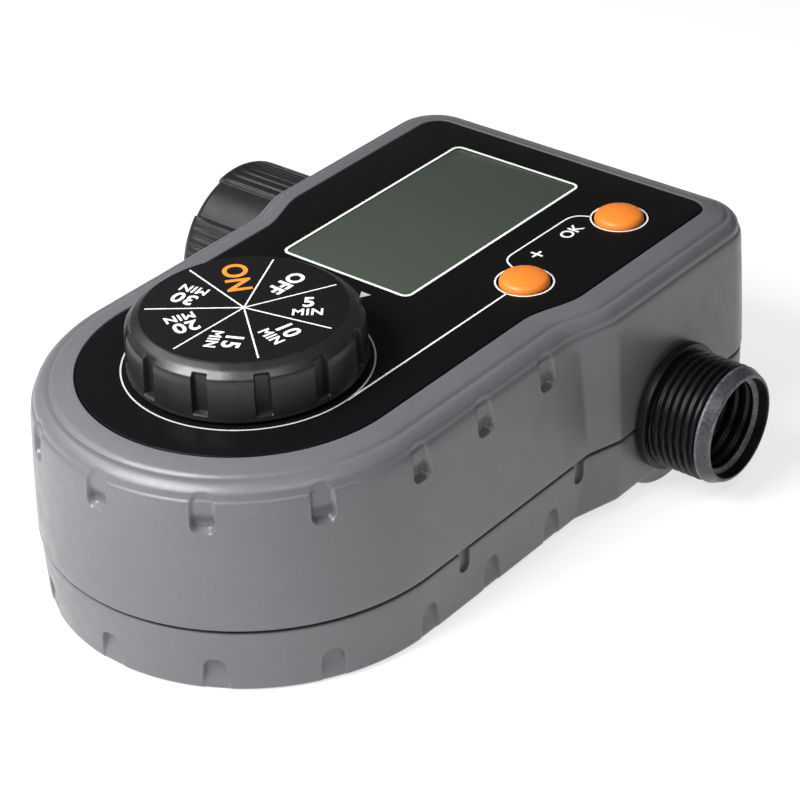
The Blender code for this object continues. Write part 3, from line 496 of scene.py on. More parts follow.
def at(shape, key, crisp=0.0):
    """Point, outward normal and nearest scoop offset (mm along the outline) for a station."""
    hl, hs, yb, rc, y0, y1 = shape
    kind = key[0]
    if kind == "A":
        a = rad(key[1])
        near = min(SCOOP_ANGLES, key=lambda c: abs(key[1] - c))
        return (hl * math.cos(a), hl * math.sin(a)), (math.cos(a), math.sin(a)), rad(key[1] - near) * 44.2
    if kind == "S":
        y = key[2]
        near = min((0.0,) + SCOOP_SIDES, key=lambda c: abs(y - c))
        t = 0.0
        return (key[1] * hl, y), (key[1], 0.0), y - near
    if kind == "H":
        y = 44.0 + (y1 - 44.0) * key[2]
        t = min(1.0, max(0.0, (y - y0) / (y1 - y0)))
        f, g = ramp(t)
        f = (1 - crisp) * (3 * t * t - 2 * t ** 3) + crisp * f
        g = (1 - crisp) * 6 * t * (1 - t) + crisp * g * (0 < t < 1)
        x = hl + (hs - hl) * f
        slope = (hs - hl) * g / (y1 - y0)
        k = math.hypot(1, slope)
        return (key[1] * x, y), (key[1] / k, -slope / k), y - 40.5
    if kind == "L":
        return (key[1] * hs, y1 + (yb - rc - y1) * key[2]), (key[1], 0.0), None
    if kind == "C":
        a = rad(90 * key[2])
        return (key[1] * (hs - rc + rc * math.cos(a)), yb - rc + rc * math.sin(a)), (key[1] * math.cos(a), math.sin(a)), None
    return (key[1] * (hs - rc), yb), (0.0, 1.0), None


def skin(name, rows, cols, mat, dent=None, smooth=30):
    """rows: (shape, z, push outward, push up)."""
    n = len(cols)
    verts, faces = [], []
    for shape, z, po, pz in rows:
        crisp = 1.0 - sm((z - 40.5) / 5.0)
        for key in cols:
            (x, y), (nx, ny), u = at(shape, key, crisp)
            d = po
            if dent and u is not None:
                d -= dent(u, z)
            verts.append((x + nx * d, y + ny * d, z + pz))
    for k in range(len(rows) - 1):
        a, b = k * n, (k + 1) * n
        for i in range(n):
            j = (i + 1) % n
            faces.append((a + i, a + j, b + j, b + i))
    faces.append(tuple(range(n)))
    faces.append(tuple(range(len(verts) - n, len(verts))))
    return make(name, verts, faces, mat, smooth)


def ring2(shape, cols):
    return [at(shape, k)[0] for k in cols]


def rrect_sd(u, v, w, h, rc):
    qx, qy = abs(u) - (w - rc), abs(v) - (h - rc)
    return math.hypot(max(qx, 0), max(qy, 0)) + min(max(qx, qy), 0) - rc


def sm(t):
    t = min(1.0, max(0.0, t))
    return t * t * (3 - 2 * t)


def dent_top(u, z):
    """Grip scoop across the upper edge: a shallow capsule with a deeper lower half."""
    if abs(u) > 3.2 or z < 35.0 or z > 45.4:
        return 0.0
    top, bot = 44.75, 36.8
    sd = rrect_sd(u, z - (top + bot) / 2, 2.45, (top - bot) / 2, 1.7)
    e = sm((0.22 - sd) / 0.95)
    v = (top - z) / (top - bot)
    d = 0.34 + 0.30 * sm(v / 0.5) + 0.95 * sm((v - 0.42) / 0.42)
    lip = 0.06 * math.exp(-((sd - 0.12) / 0.24) ** 2) * sm((43.2 - z) / 1.2)
    return d * e - lip


def dent_low(u, z):
    """Grip scoop that runs out of the bottom edge."""
    if abs(u) > 3.4 or z > 8.2:
        return 0.0
    top = 7.45
    w = 2.15 + 0.55 * sm((top - z) / 7.0)
    sd = rrect_sd(u, z - (top - 8.0), w, 8.0, 1.9)
    e = sm((0.18 - sd) / 0.70)
    v = (top - z) / top
    return (1.10 - 0.92 * sm((v - 0.32) / 0.62)) * e


# ------------------------------------------------------------------ front cover
COLS = columns(True)
COLS_LOW = columns(False)


def profile_rows():
    rows = []
    for d, z in ((0.50, 14.85), (0.26, 14.87), (0.10, 14.97), (0.02, 15.14)):
        rows.append((inset(WALL_PART, d), z, 0.0, 0.0))

    def seg(a, za, b, zb, ts, bulge, groove_a=0.0, groove_b=0.0, gw=0.62):
        dr, dz = b[0] - a[0], zb - za
        length = math.hypot(dr, dz)
        nr, nz = dz / length, -dr / length
        for t in ts:
            d = 4 * bulge * t * (1 - t)
            d -= groove_a * math.exp(-((t * length / gw) ** 2)) + groove_b * math.exp(-(((1 - t) * length / gw) ** 2))
            rows.append((mix_shape(a, b, t), za + dz * t, nr * d, nz * d))

    z0, z1 = 15.4, 39.6
    zs = [15.4, 17.0, 20.0, 23.5, 27.0, 30.0, 32.5, 34.2, 35.0] + list(np.arange(35.2, 39.5, 0.22))
    seg(WALL_PART, z0, WALL_TOP, z1, [(z - z0) / (z1 - z0) for z in zs], 0.10)
    seg(WALL_TOP, 39.6, BEVEL, 43.9, np.linspace(0.0, 1.0, 26)[:-1], 0.15, 0, 0.40)
    seg(BEVEL, 43.9, RIM_OUT, 46.7, np.linspace(0.0, 1.0, 30)[:-1], 0.44, 0.40, 0.34)
    seg(RIM_OUT, 46.7, RIM_IN, 47.9, np.concatenate([np.linspace(0, 0.4, 12)[:-1], np.linspace(0.4, 0.955, 8)]), 0.12, 0.34, 0.0)
    for d, z in ((-0.13, 47.87), (-0.04, 47.80), (0.0, 47.66), (0.0, 46.40)):
        rows.append((inset(RIM_IN, d), z, 0.0, 0.0))
    return rows


front = skin("case_front_shell", profile_rows(), COLS, HOUSING, dent=dent_top)
inner_rows = [(inset(WALL_PART, 3.0), Z_PART - 2, 0, 0), (inset(WALL_TOP, 2.8), 38.6, 0, 0), (inset(RIM_OUT, 1.2), 44.5, 0, 0)]
boolean(front, skin("t", inner_rows, COLS_LOW, None, smooth=0))
LCD = (-24.3, 9.6, 38.4, 98.7)
BUTTON_X, BUTTON_Y = 25.6, (57.5, 91.6)
bm = bmesh.new()
box(bm, LCD[0] + 1.4, LCD[1] - 1.4, LCD[2] + 1.4, LCD[3] - 1.4, 43, 48)
for y in BUTTON_Y:
    cyl(bm, (BUTTON_X, y, 43), (BUTTON_X, y, 48), 5.95, seg=96)
cyl(bm, (0, 0, 43), (0, 0, 48), 5.3, seg=72)
cyl(bm, (-60, Y_PIPE, Z_PART), (60, Y_PIPE, Z_PART), 12.75, seg=128)
boolean(front, from_bm("t", bm, smooth=0))
place(front, "case", ["front_cover"])


# ------------------------------------------------------------------ rear cover
def rear_rows():
    rows = []
    for d, z in ((0.95, 14.50), (0.92, 14.14), (0.84, 14.04), (0.25, 13.99), (0.08, 13.90), (0.0, 13.74)):
        rows.append((inset(BACK_TOP, d), z, 0, 0))
    z0, z1 = 13.74, 1.1
    for z in [12.8, 11.4, 10.0, 8.9, 8.3] + list(np.arange(8.05, 1.2, -0.23)):
        rows.append((mix_shape(BACK_TOP, BACK_LOW, (z0 - z) / (z0 - z1)), z, 0, 0))
    for k in range(7):
        a = rad(90 * k / 6)
        rows.append((mix_shape(BACK_LOW, BACK_EDGE, 1 - math.cos(a)), 1.1 * (1 - math.sin(a)), 0, 0))
    return rows


rear = skin("case_rear_shell", rear_rows(), COLS, HOUSING, dent=dent_low)
bulge = revolve("t", rounded([(0, -47.5), (18.6, -47.5), (18.6, 47.5), (0, 47.5)], 0.9, 5), None, (0, Y_PIPE, Z_PART), "X", n=200)
bm = bmesh.new()
box(bm, -60, 60, 50, 110, 5.0, 60)
boolean(bulge, from_bm("t", bm, smooth=0))
boolean(rear, bulge, "UNION")
boolean(rear, skin("t", [(inset(BACK_LOW, 3.0), 3.0, 0, 0), (inset(BACK_TOP, 3.0), Z_PART + 3, 0, 0)], COLS_LOW, None, smooth=0))
bm = bmesh.new()
cyl(bm, (-44.4, Y_PIPE, Z_PART), (44.4, Y_PIPE, Z_PART), 16.2, seg=96, phase=rad(2))
boolean(rear, from_bm("t", bm, smooth=0))
SCREW_XY = ((26.5, -26.5), (-26.5, -26.5), (37.6, 32.0), (-37.6, 32.0), (38.2, 105.0), (-38.2, 105.0))
bm = bmesh.new()
for x, y in SCREW_XY:
    cyl(bm, (x, y, 1.5), (x, y, Z_PART - 0.45), 4.4, seg=40)
boolean(rear, from_bm("t", bm, smooth=0), "UNION")
bm = bmesh.new()
for x, y in SCREW_XY:
    cyl(bm, (x, y, 0.35), (x, y, 9.0), 3.3, seg=64)
    cyl(bm, (x, y, -1.0), (x, y, 0.35), 4.65, 3.3, seg=64)
bmesh.ops.remove_doubles(bm, verts=bm.verts, dist=1e-5)
for f in [f for f in bm.faces if len(f.verts) > 8 and abs(f.calc_center_median().z - 0.35) < 1e-4]:
    bm.faces.remove(f)
cyl(bm, (-60, Y_PIPE, Z_PART), (60, Y_PIPE, Z_PART), 12.75, seg=128)
for y in (11.0, 50.0):
    pts = [(y - 1.6, 20.0), (y - 1.6, 10.6)] + [(y - 1.6 * math.cos(rad(a)), 10.6 - 1.6 * math.sin(rad(a))) for a in range(15, 180, 15)] + [
        (y + 1.6, 10.6), (y + 1.6, 20.0)]
    lo = [bm.verts.new((43.9, p[0], p[1])) for p in pts]
    hi = [bm.verts.new((50.0, p[0], p[1])) for p in pts]
    for i in range(len(pts)):
        j = (i + 1) % len(pts)
        bm.faces.new((lo[i], lo[j], hi[j], hi[i]))
    bm.faces.new(list(reversed(lo)))
    bm.faces.new(hi)
boolean(rear, from_bm("t", bm, smooth=0))
bm = bmesh.new()
for x, y in SCREW_XY:
    cyl(bm, (x, y, 7.0), (x, y, 20), 1.8, seg=32)
boolean(rear, from_bm("t", bm, smooth=0))
DOOR = (-20.0, 20.0, -33.0, 32.0)
rr = lambda d: round_rect(DOOR[0] + d, DOOR[1] - d, DOOR[2] + d, DOOR[3] - d, max(3.0 - d, 0.5), 10)
boolean(rear, pillow("t", rr, [(-0.75, -1.0), (-0.75, 0.0), (-0.3, 0.4), (-0.3, 1.7)], None, smooth=0))
bm = bmesh.new()
prism(bm, round_rect(-17.0, 17.0, -30.0, 29.0, 1.5), 1.0, 5.0)
boolean(rear, from_bm("t", bm, smooth=0))
place(rear, "case", ["rear_cover"])

# ------------------------------------------------------------------ battery door: rounded panel, grip ribs and arrow
door = pillow("battery_door_panel", rr, [(0.5, 0.0), (0.22, 0.06), (0.06, 0.2), (0.0, 0.45), (0.0, 1.4)], HOUSING)
bm = bmesh.new()
for k in range(7):
    y = -27.5 + 2.0 * k
    prism(bm, round_rect(-11.0 + 0.5 * k, 11.0 - 0.5 * k, y - 0.45, y + 0.45, 0.44, 5), -1.0, 0.45)
prism(bm, [(-4.2, -10.0), (4.2, -10.0), (0.0, -5.4)], -1.0, 0.35)
prism(bm, round_rect(-7.5, 7.5, 25.4, 29.4, 1.9, 8), -1.0, 0.7)
boolean(door, from_bm("t", bm, smooth=0))
place(door, "case", ["battery_door"])

# ------------------------------------------------------------------ case screws with a cross recess
for i, (x, y) in enumerate(SCREW_XY):
    s = revolve("case_screw_head_%d" % (i + 1),
                rounded([(0, 24.0), (0.4, 23.9), (1.4, 22.2), (1.4, 8.7), (2.8, 8.7), (2.8, 7.5), (2.3, 6.8), (1.5, 6.6), (0, 6.6)], 0.25, 3),
                SCREW_MAT, (x, y, 0), n=48)
    bm = bmesh.new()
    for a in (20 + 31 * i, 110 + 31 * i):
        vs = box(bm, -1.55, 1.55, -0.32, 0.32, 6.0, 7.75)
        bmesh.ops.rotate(bm, verts=vs, matrix=Matrix.Rotation(rad(a), 3, "Z"))
        bmesh.ops.translate(bm, verts=vs, vec=(x, y, 0))
        boolean(s, from_bm("t", bm, smooth=0))
        bm = bmesh.new()
    bm.free()
    place(s, "case", ["case_screw_%d" % (i + 1)])

# ------------------------------------------------------------------ faceplate and its printing
plate_ring = lambda d: ring2(inset(PLATE, d), COLS_LOW2)
COLS_LOW2 = [k for k in columns(False)]
plate = pillow("faceplate_panel", plate_ring, [(0.0, 46.7), (0.0, 47.62), (0.05, 47.77), (0.14, 47.86), (0.28, 47.9)], PLATE_MAT)
bm = bmesh.new()
prism(bm, round_rect(LCD[0], LCD[1], LCD[2], LCD[3], 1.6, 10), 45, 50)
for y in BUTTON_Y:
    cyl(bm, (BUTTON_X, y, 45), (BUTTON_X, y, 50), 5.8, seg=96)
cyl(bm, (0, 0, 45), (0, 0, 50), 5.3, seg=64)
boolean(plate, from_bm("t", bm, smooth=0))
place(plate, "case", ["faceplate"])

INK_Z0, INK_Z1 = Z_FACE - 0.02, Z_FACE + 0.035


def strip(bm, pts, w, closed=False, z0=INK_Z0, z1=INK_Z1):
    """A printed line of width w along pts."""
    P = [Vector(p) for p in pts]
    n = len(P)
    left, right = [], []
    for i in range(n):
        a = P[i - 1] if closed or i else P[i]
        b = P[(i + 1) % n] if closed or i < n - 1 else P[i]
        t = (b - a).normalized()
        if (closed or 0 < i < n - 1):
            t1, t2 = (P[i] - P[i - 1]).normalized(), (P[(i + 1) % n] - P[i]).normalized()
            t = (t1 + t2).normalized()
            k = 1 / max(0.4, t.dot(t2))
        else:
            k = 1
        nrm = Vector((-t.y, t.x)) * (w / 2 * k)
        left.append(P[i] + nrm)
        right.append(P[i] - nrm)
    rows = [[bm.verts.new((p.x, p.y, z)) for p in side] for side, z in ((left, z0), (left, z1), (right, z1), (right, z0))]
    m = n if closed else n - 1
    for i in range(m):
        j = (i + 1) % n
        for r in range(4):
            q = (r + 1) % 4
            bm.faces.new((rows[r][i], rows[r][j], rows[q][j], rows[q][i]))
    if not closed:
        bm.faces.new([rows[r][0] for r in range(4)])
        bm.faces.new([rows[r][-1] for r in reversed(range(4))])


def circle(cx, cy, r, n=128, a0=0.0, a1=360.0, closed=True):
    m = n if closed else n + 1
    return [(cx + r * math.cos(rad(a0 + (a1 - a0) * i / n)), cy + r * math.sin(rad(a0 + (a1 - a0) * i / n))) for i in range(m)]


def bezier(p0, p1, p2, p3, n=14):
    out = []
    for i in range(n + 1):
        t = i / n
        out.append(tuple((1 - t) ** 3 * a + 3 * t * (1 - t) ** 2 * b + 3 * t * t * (1 - t) * c + t ** 3 * d
                         for a, b, c, d in zip(p0, p1, p2, p3)))
    return out


def text(bm, body, size, x, y, z0, z1, angle=0.0, weight=0.0, squeeze=1.0, track=1.0):
    """Plain lettering as a thin raised print."""
    cu = bpy.data.curves.new("t", "FONT")
    cu.body = body
    cu.size = size
    cu.align_x = "CENTER"
    cu.align_y = "CENTER"
    cu.offset = weight
    cu.space_character = track
    cu.extrude = (z1 - z0) / 2
    cu.resolution_u = 8
    o = bpy.data.objects.new("t", cu)
    scene.collection.objects.link(o)
    bpy.context.view_layer.update()
    me = bpy.data.meshes.new_from_object(o.evaluated_get(bpy.context.evaluated_depsgraph_get()))
    me.transform(Matrix.Translation((x, y, (z0 + z1) / 2)) @ Matrix.Rotation(rad(angle), 4, "Z") @ Matrix.Diagonal((squeeze, 1, 1, 1)))
    bm.from_mesh(me)
    bpy.data.objects.remove(o)
    bpy.data.meshes.remove(me)


bm = bmesh.new()
strip(bm, round_rect(LCD[0] - 0.15, LCD[1] + 0.15, LCD[2] - 0.15, LCD[3] + 0.15, 1.7, 8), 0.62, closed=True)
strip(bm, [(25.55, 0.4), (25.6, 51.4)], 0.42)
for y in BUTTON_Y:
    strip(bm, circle(BUTTON_X, y, 6.15, 96), 0.36, closed=True)
link_line = bezier((20.35, 60.75), (18.2, 61.7), (16.4, 62.2), (16.4, 65.6)) + bezier((16.55, 83.6), (16.6, 86.6), (17.6, 87.6), (20.3, 88.6))
strip(bm, link_line, 0.40)
strip(bm, [(20.7, 66.9), (20.7, 69.9)], 0.55)
strip(bm, [(19.2, 68.4), (20.42, 68.4)], 0.55)
strip(bm, [(20.98, 68.4), (22.2, 68.4)], 0.55)
text(bm, "OK", 4.1, 20.9, 80.6, INK_Z0, INK_Z1, angle=90.0, weight=0.07)
printing = from_bm("faceplate_printing", bm, INK, smooth=0)
place(printing, "case", [])
bm = bmesh.new()
strip(bm, circle(0, 0, 25.4, 200), 0.34, closed=True)
prism(bm, [(0.5, 34.6), (3.1, 34.6), (1.8, 32.4)], INK_Z0, INK_Z1)
printing = from_bm("faceplate_printing_dial_ring", bm, INK_GREY, smooth=0)
place(printing, "case", [])

# ------------------------------------------------------------------ display window and panel
lens_ring = lambda d: round_rect(LCD[0] + 0.18 + d, LCD[1] - 0.18 - d, LCD[2] + 0.18 + d, LCD[3] - 0.18 - d, 1.45, 10)
lens = pillow("display_window", lens_ring, [(0.0, 46.7), (0.0, 47.62), (0.06, 47.74), (0.16, 47.8)], LENS_MAT)
place(lens, "case", ["lcd_window"])
panel = pillow("display_panel", lambda d: round_rect(LCD[0] - 1.7 + d, LCD[1] + 1.7 - d, LCD[2] - 1.7 + d, LCD[3] + 1.7 - d, 0.6, 4),
               [(0.0, 41.9), (0.0, 44.0), (0.1, 44.1)], LCD_MAT)
place(panel, "case", ["lcd_panel"])

# ------------------------------------------------------------------ push buttons
for name, node, body, y in (("button_plus_dome", "button_plus", "button_plus_cap", BUTTON_Y[0]),
                            ("button_ok_dome", "button_ok", "button_ok_cap", BUTTON_Y[1])):
    prof = [(0, 2.2)] + [(r, 2.2 - 0.85 * (r / 4.6) ** 2.2) for r in np.linspace(0.4, 4.6, 12)]
    prof += [(4.95, 1.12), (5.22, 0.78), (5.36, 0.38), (5.4, 0.0), (5.4, -3.9), (7.0, -4.0), (7.0, -5.0), (0.6, -5.38), (0, -5.4)]
    o = revolve(name, prof, ORANGE, (BUTTON_X, y, Z_FACE), n=96)
    place(o, body, [node])

# ------------------------------------------------------------------ dial
SLOTS = [-10 + 30 * k for k in range(12)]
offs = [0.0, 0.5, 0.95, 1.2, 1.34, 1.42, 1.5, 1.58, 1.66, 1.76, 2.0, 2.5]
offs = [-u for u in reversed(offs[1:])] + offs
ang = []
for c in SLOTS:
    ang += [c + math.degrees(u / 24.0) for u in offs]
    ang += list(np.linspace(c + 6.6, c + 23.4, 15))
ang = np.radians(np.sort(np.mod(ang, 360.0)))


def knob_shape(R, H, TH):
    d = np.full_like(R, 99.0)
    for c in SLOTS:
        w = (TH - rad(c) + math.pi) % (2 * math.pi) - math.pi
        d = np.minimum(d, np.abs(w) * 24.0)
    side = smooth01((1.70 - d) / 0.34)
    tall = smooth01((H - 49.98) / 0.22) * smooth01((58.75 - H) / 0.45)
    outer = R > 22.3
    depth = np.clip(R - (22.75 - 0.02 * (H - 50)), 0, None)
    R = np.where(outer, R - depth * side * tall, R)
    # a faint swelling of the grip between the slots
    R = np.where(outer & (H > 48.6) & (H < 58.6), R + 0.05 * np.cos(np.clip(d, 0, 6.2) / 6.2 * math.pi) * -1 * (1 - side) * 0.6, R)
    return R, H


knob_prof = [(0, 59.0), (20.45, 59.0), (20.5, 60.14), (20.85, 60.16), (22.4, 59.2), (23.72, 57.85), (23.95, 56.4), (24.22, 50.4),
             (24.25, 49.0), (23.95, 48.4), (21.6, 48.4), (21.3, 57.0), (6.6, 57.4), (6.6, 48.4), (0, 48.4)]
knob_prof = rounded(knob_prof, 0.35, 4)
knob_prof = dense(knob_prof, 0.28, where=lambda p, q: p[0] > 22.2 and q[0] > 22.2 and min(p[1], q[1]) > 48.3)
knob = revolve("dial_knob_grip", knob_prof, KNOB_MAT, thetas=ang, disp=knob_shape, smooth=38)
bm = bmesh.new()
prism(bm, [(3.3 * math.cos(rad(a)), 3.3 * math.sin(rad(a))) for a in range(40, 321, 8)], 47.0, 57.8)
boolean(knob, from_bm("t", bm, smooth=0), smooth=38)
place(knob, "dial", ["dial_knob"])

disc = revolve("dial_face_disc", [(0, 60.25), (20.6, 60.25), (20.73, 60.22), (20.77, 60.18), (20.38, 60.175), (20.36, 59.95), (20.36, 59.3), (0, 59.3)], DISC_MAT, n=160)
place(disc, "dial", ["dial_label_disc"])
DZ0, DZ1 = 60.23, 60.285
bm = bmesh.new()
for k in range(7):
    a = rad(11.5 + 51.43 * k)
    strip(bm, [(0.45 * math.cos(a), 0.45 * math.sin(a)), (19.7 * math.cos(a), 19.7 * math.sin(a))], 0.33, z0=DZ0, z1=DZ1)
prism(bm, circle(0, 0, 0.5, 24), DZ0, DZ1)


def label(bm, centre, big, small, size_big, size_small):
    """Two lines whose baseline runs outward from the dial's centre."""
    a = rad(centre)
    out, side = Vector((math.cos(a), math.sin(a))), Vector((-math.sin(a), math.cos(a)))
    if small:
        p, q = out * 12.7 + side * 1.6, out * 12.7 - side * 2.2
        text(bm, big, size_big, p.x, p.y, DZ0, DZ1, angle=centre, weight=0.13, track=1.08)
        text(bm, small, size_small, q.x, q.y, DZ0, DZ1, angle=centre, weight=0.08, track=1.08)
    else:
        p = out * 12.3
        text(bm, big, size_big, p.x, p.y, DZ0, DZ1, angle=centre + 180, weight=0.16, track=1.06)


label(bm, 88.6, "OFF", "", 4.9, 0)
for centre, minutes in ((37.2, "5"), (-14.3, "10"), (-65.7, "15"), (-117.1, "20"), (191.5, "30")):
    label(bm, centre, minutes, "MIN", 5.1, 3.4)
marks = from_bm("dial_face_printing", bm, INK, smooth=0)
place(marks, "dial", [])
bm = bmesh.new()
label(bm, 140.0, "ON", "", 7.0, 0)
marks = from_bm("dial_face_printing_on", bm, INK_ORANGE, smooth=0)
place(marks, "dial", [])

# ------------------------------------------------------------------ outlet: threaded spout and valve body in one piece
PITCH_T = 1.814


def thread_wave(f):
    """0 at the root, 1 at the crest, over one pitch."""
    f = np.mod(f, 1.0)
    return smooth01((0.5 - np.abs(f - 0.5) - 0.13) / 0.30)


def outlet_shape(R, H, TH):
    on = (R > 11.95) & (R < 12.25) & (H > 50.35) & (H < 62.2)
    f = (H - PITCH_T * TH / (2 * math.pi)) / PITCH_T
    fade = smooth01((H - 50.35) / 0.5) * smooth01((62.0 - H) / 0.7)
    crest = 13.17 - 12.1
    R = np.where(on, R + crest * thread_wave(f) * fade, R)
    inn = (R > 9.85) & (R < 9.95) & (H > 51.2) & (H < 62.2)
    g = (H - PITCH_T * 1.5 * TH / (2 * math.pi)) / (PITCH_T * 1.5)
    fade = smooth01((H - 51.6) / 0.8) * smooth01((61.8 - H) / 0.8)
    R = np.where(inn, R + 0.55 * thread_wave(g) * fade, R)
    return R, H


outer = [(11.15, 65.2), (11.7, 65.2), (12.05, 64.9), (13.1, 62.55), (13.05, 62.1), (12.1, 61.95), (12.1, 50.45), (14.3, 50.4), (14.3, 48.4), (12.3, 48.2), (12.3, 26.0), (15.0, 24.0), (15.0, -22.0)]
inner = [(12.7, -22.0), (12.7, 12.3), (7.5, 12.3), (7.5, 50.0), (9.9, 50.6), (9.9, 62.3), (10.95, 62.7)]
prof = rounded(outer + inner, 0.22, 3, closed=True)
prof = dense(prof, 0.115, closed=True, where=lambda p, q: p[1] > 50.4 and q[1] > 50.4 and abs(p[0] - q[0]) < 0.05)
spout = revolve("outlet_spout_and_body", prof, PIPE_MAT, (0, Y_PIPE, Z_PART), "X", n=144, disp=outlet_shape, closed=True, smooth=40)
bm = bmesh.new()
cyl(bm, (0, Y_PIPE, Z_PART + 13.6), (0, Y_PIPE, 31.0), 8.0, seg=64)
boolean(spout, from_bm("t", bm, smooth=0), "UNION", smooth=40)
bm = bmesh.new()
cyl(bm, (0, Y_PIPE, Z_PART + 8), (0, Y_PIPE, 33.0), 5.35, seg=48)
boolean(spout, from_bm("t", bm, smooth=0), smooth=40)
spout.data.materials.append(LIP_WEAR_AND_HIGHLIGHT_MAT)
spout.data.materials.append(LIP_EDGE_WEAR_AND_HIGHLIGHT_MAT)
for poly in spout.data.polygons:
    c = poly.center
    r = math.hypot(c[1] / MM - Y_PIPE, c[2] / MM - Z_PART)
    x = c[0] / MM
    # the lip's end face and crest ring: lighter grey for wear with a painted highlight
    if r > 11.35 and (x > 64.93 or (r > 12.9 and 62.2 < x < 62.75)):
        poly.material_index = 2
    # the smooth band: lighter grey for dust and wear with a painted highlight
    elif x > 62.0 and r > 11.6:
        poly.material_index = 1
    # the inner step face between the lip bore and the threaded bore: a painted highlight
    elif 62.15 < x < 62.9 and 9.95 < r < 11.1:
        poly.material_index = 2
place(spout, "case", ["valve_body"])

# ------------------------------------------------------------------ ball, spigot, washer, filter
ball = revolve("valve_ball_bored", [(11.0 * math.sin(rad(a)), -11.0 * math.cos(rad(a))) for a in range(0, 181, 3)], BRASS, (0, Y_PIPE, Z_PART), n=96)
bm = bmesh.new()
cyl(bm, (-20, Y_PIPE, Z_PART), (20, Y_PIPE, Z_PART), 6.2, seg=72)
boolean(ball, from_bm("t", bm, smooth=0))
bm = bmesh.new()
box(bm, -1.55, 1.55, Y_PIPE - 12.3, Y_PIPE + 12.3, Z_PART + 8.6, Z_PART + 14)
boolean(ball, from_bm("t", bm, smooth=0))
place(ball, "valve_rotor", ["valve_ball"])

spigot = revolve("inlet_spigot_turned", rounded(
    [(12.4, -12.3), (12.4, -22.3), (15.0, -22.3), (15.0, -26.0), (12.3, -27.5), (12.3, -48.2), (9.6, -49.2), (9.6, -53.6), (8.6, -53.8),
     (8.6, -54.9), (9.6, -55.1), (9.6, -62.0), (11.8, -62.2), (11.8, -64.0), (8.2, -64.0), (8.2, -56.2), (7.2, -55.2), (7.2, -12.3)],
    0.2, 3, closed=True), PIPE_MAT, (0, Y_PIPE, Z_PART), "X", n=96, closed=True)
place(spigot, "case", ["inlet_spigot"])

washer = revolve("inlet_washer_ribbed", rounded(
    [(11.9, -65.6), (11.9, -67.6), (10.9, -67.6), (10.6, -67.35), (10.2, -67.6), (8.8, -67.6), (8.4, -67.35), (8.0, -67.6), (6.9, -67.6), (6.9, -65.6)],
    0.18, 3, closed=True), RUBBER, (0, Y_PIPE, Z_PART), "X", n=96, closed=True)
place(washer, "case", ["inlet_washer"])

strainer = revolve("inlet_strainer", rounded(
    [(0, -56.6), (6.6, -56.8), (7.9, -64.3), (11.6, -64.3), (11.6, -65.3), (7.0, -65.3), (6.0, -58.0), (0, -57.6)], 0.2, 3),
    WHITE, (0, Y_PIPE, Z_PART), "X", n=72)
bm = bmesh.new()
for ring_r, count in ((1.6, 6), (3.4, 12), (5.0, 18)):
    for k in range(count):
        a = 2 * math.pi * k / count
        y, z = Y_PIPE + ring_r * math.cos(a), Z_PART + ring_r * math.sin(a)
        cyl(bm, (-59.5, y, z), (-55.5, y, z), 0.36, seg=10)
boolean(strainer, from_bm("t", bm, smooth=0))
place(strainer, "case", ["inlet_filter"])

# ------------------------------------------------------------------ inlet collar
GROUPS = (76.5, 166.5, 256.5, 346.5)
knots = []
for g in GROUPS:
    for k in range(9):
        a = g - 25.8 + 6.45 * k
        knots += [(a - 3.1, 20.14), (a - 2.5, 20.24), (a - 1.9, 20.48), (a - 1.2, 20.54), (a + 1.2, 20.54), (a + 1.9, 20.48), (a + 2.5, 20.24), (a + 3.1, 20.14)]
    knots += [(g - 30.0, 19.70), (g - 29.3, 20.1), (g + 29.3, 20.1), (g + 30.0, 19.70), (g + 38.0, 19.7), (g + 48.0, 19.7), (g + 54.0, 19.7)]
knots = sorted((a % 360.0, r) for a, r in knots)
kx = np.array([knots[-1][0] - 360] + [a for a, r in knots] + [knots[0][0] + 360])
kr = np.array([knots[-1][1]] + [r for a, r in knots] + [knots[0][1]])


kr_end = np.where(kr > 20.05, 20.54, kr)


def collar_shape(R, H, TH):
    deg = np.degrees(TH) % 360.0
    # the grooves between the ribs run out before the outer end
    run_out = smooth01((-75.0 - H) / 0.9)
    rib = np.interp(deg, kx, kr) * (1 - run_out) + np.interp(deg, kx, kr_end) * run_out - 20.8
    share = np.clip((R - 18.6) / 1.6, 0, 1)
    R = R + rib * share
    on = (R > 13.25) & (R < 13.35) & (H < -65.2) & (H > -76.9)
    f = (H + PITCH_T * TH / (2 * math.pi) * -1) / PITCH_T
    fade = smooth01((-65.6 - H) / 0.9) * smooth01((H + 76.6) / 0.9)
    R = np.where(on, R - 1.0 * thread_wave(f) * fade, R)
    return R, H


prof = [(10.0, -50.2), (18.4, -50.2), (19.9, -50.5), (20.8, -51.6), (20.8, -76.4), (20.3, -77.5), (19.0, -78.0), (14.2, -78.0), (13.5, -77.3), (13.3, -77.0),
        (13.3, -65.1), (14.6, -64.9), (14.6, -53.4), (10.0, -53.2)]
prof = rounded(prof, 0.35, 3, closed=True)
prof = dense(prof, 0.15, closed=True, where=lambda p, q: abs(p[0] - 13.3) < 0.02 and abs(q[0] - 13.3) < 0.02)
prof = dense(prof, 3.0, closed=True)
collar = revolve("inlet_collar_ribbed", prof, COLLAR_MAT, (0, Y_PIPE, Z_PART), "X", n=640, disp=collar_shape, closed=True, smooth=40)
place(collar, "collar", ["inlet_collar"])

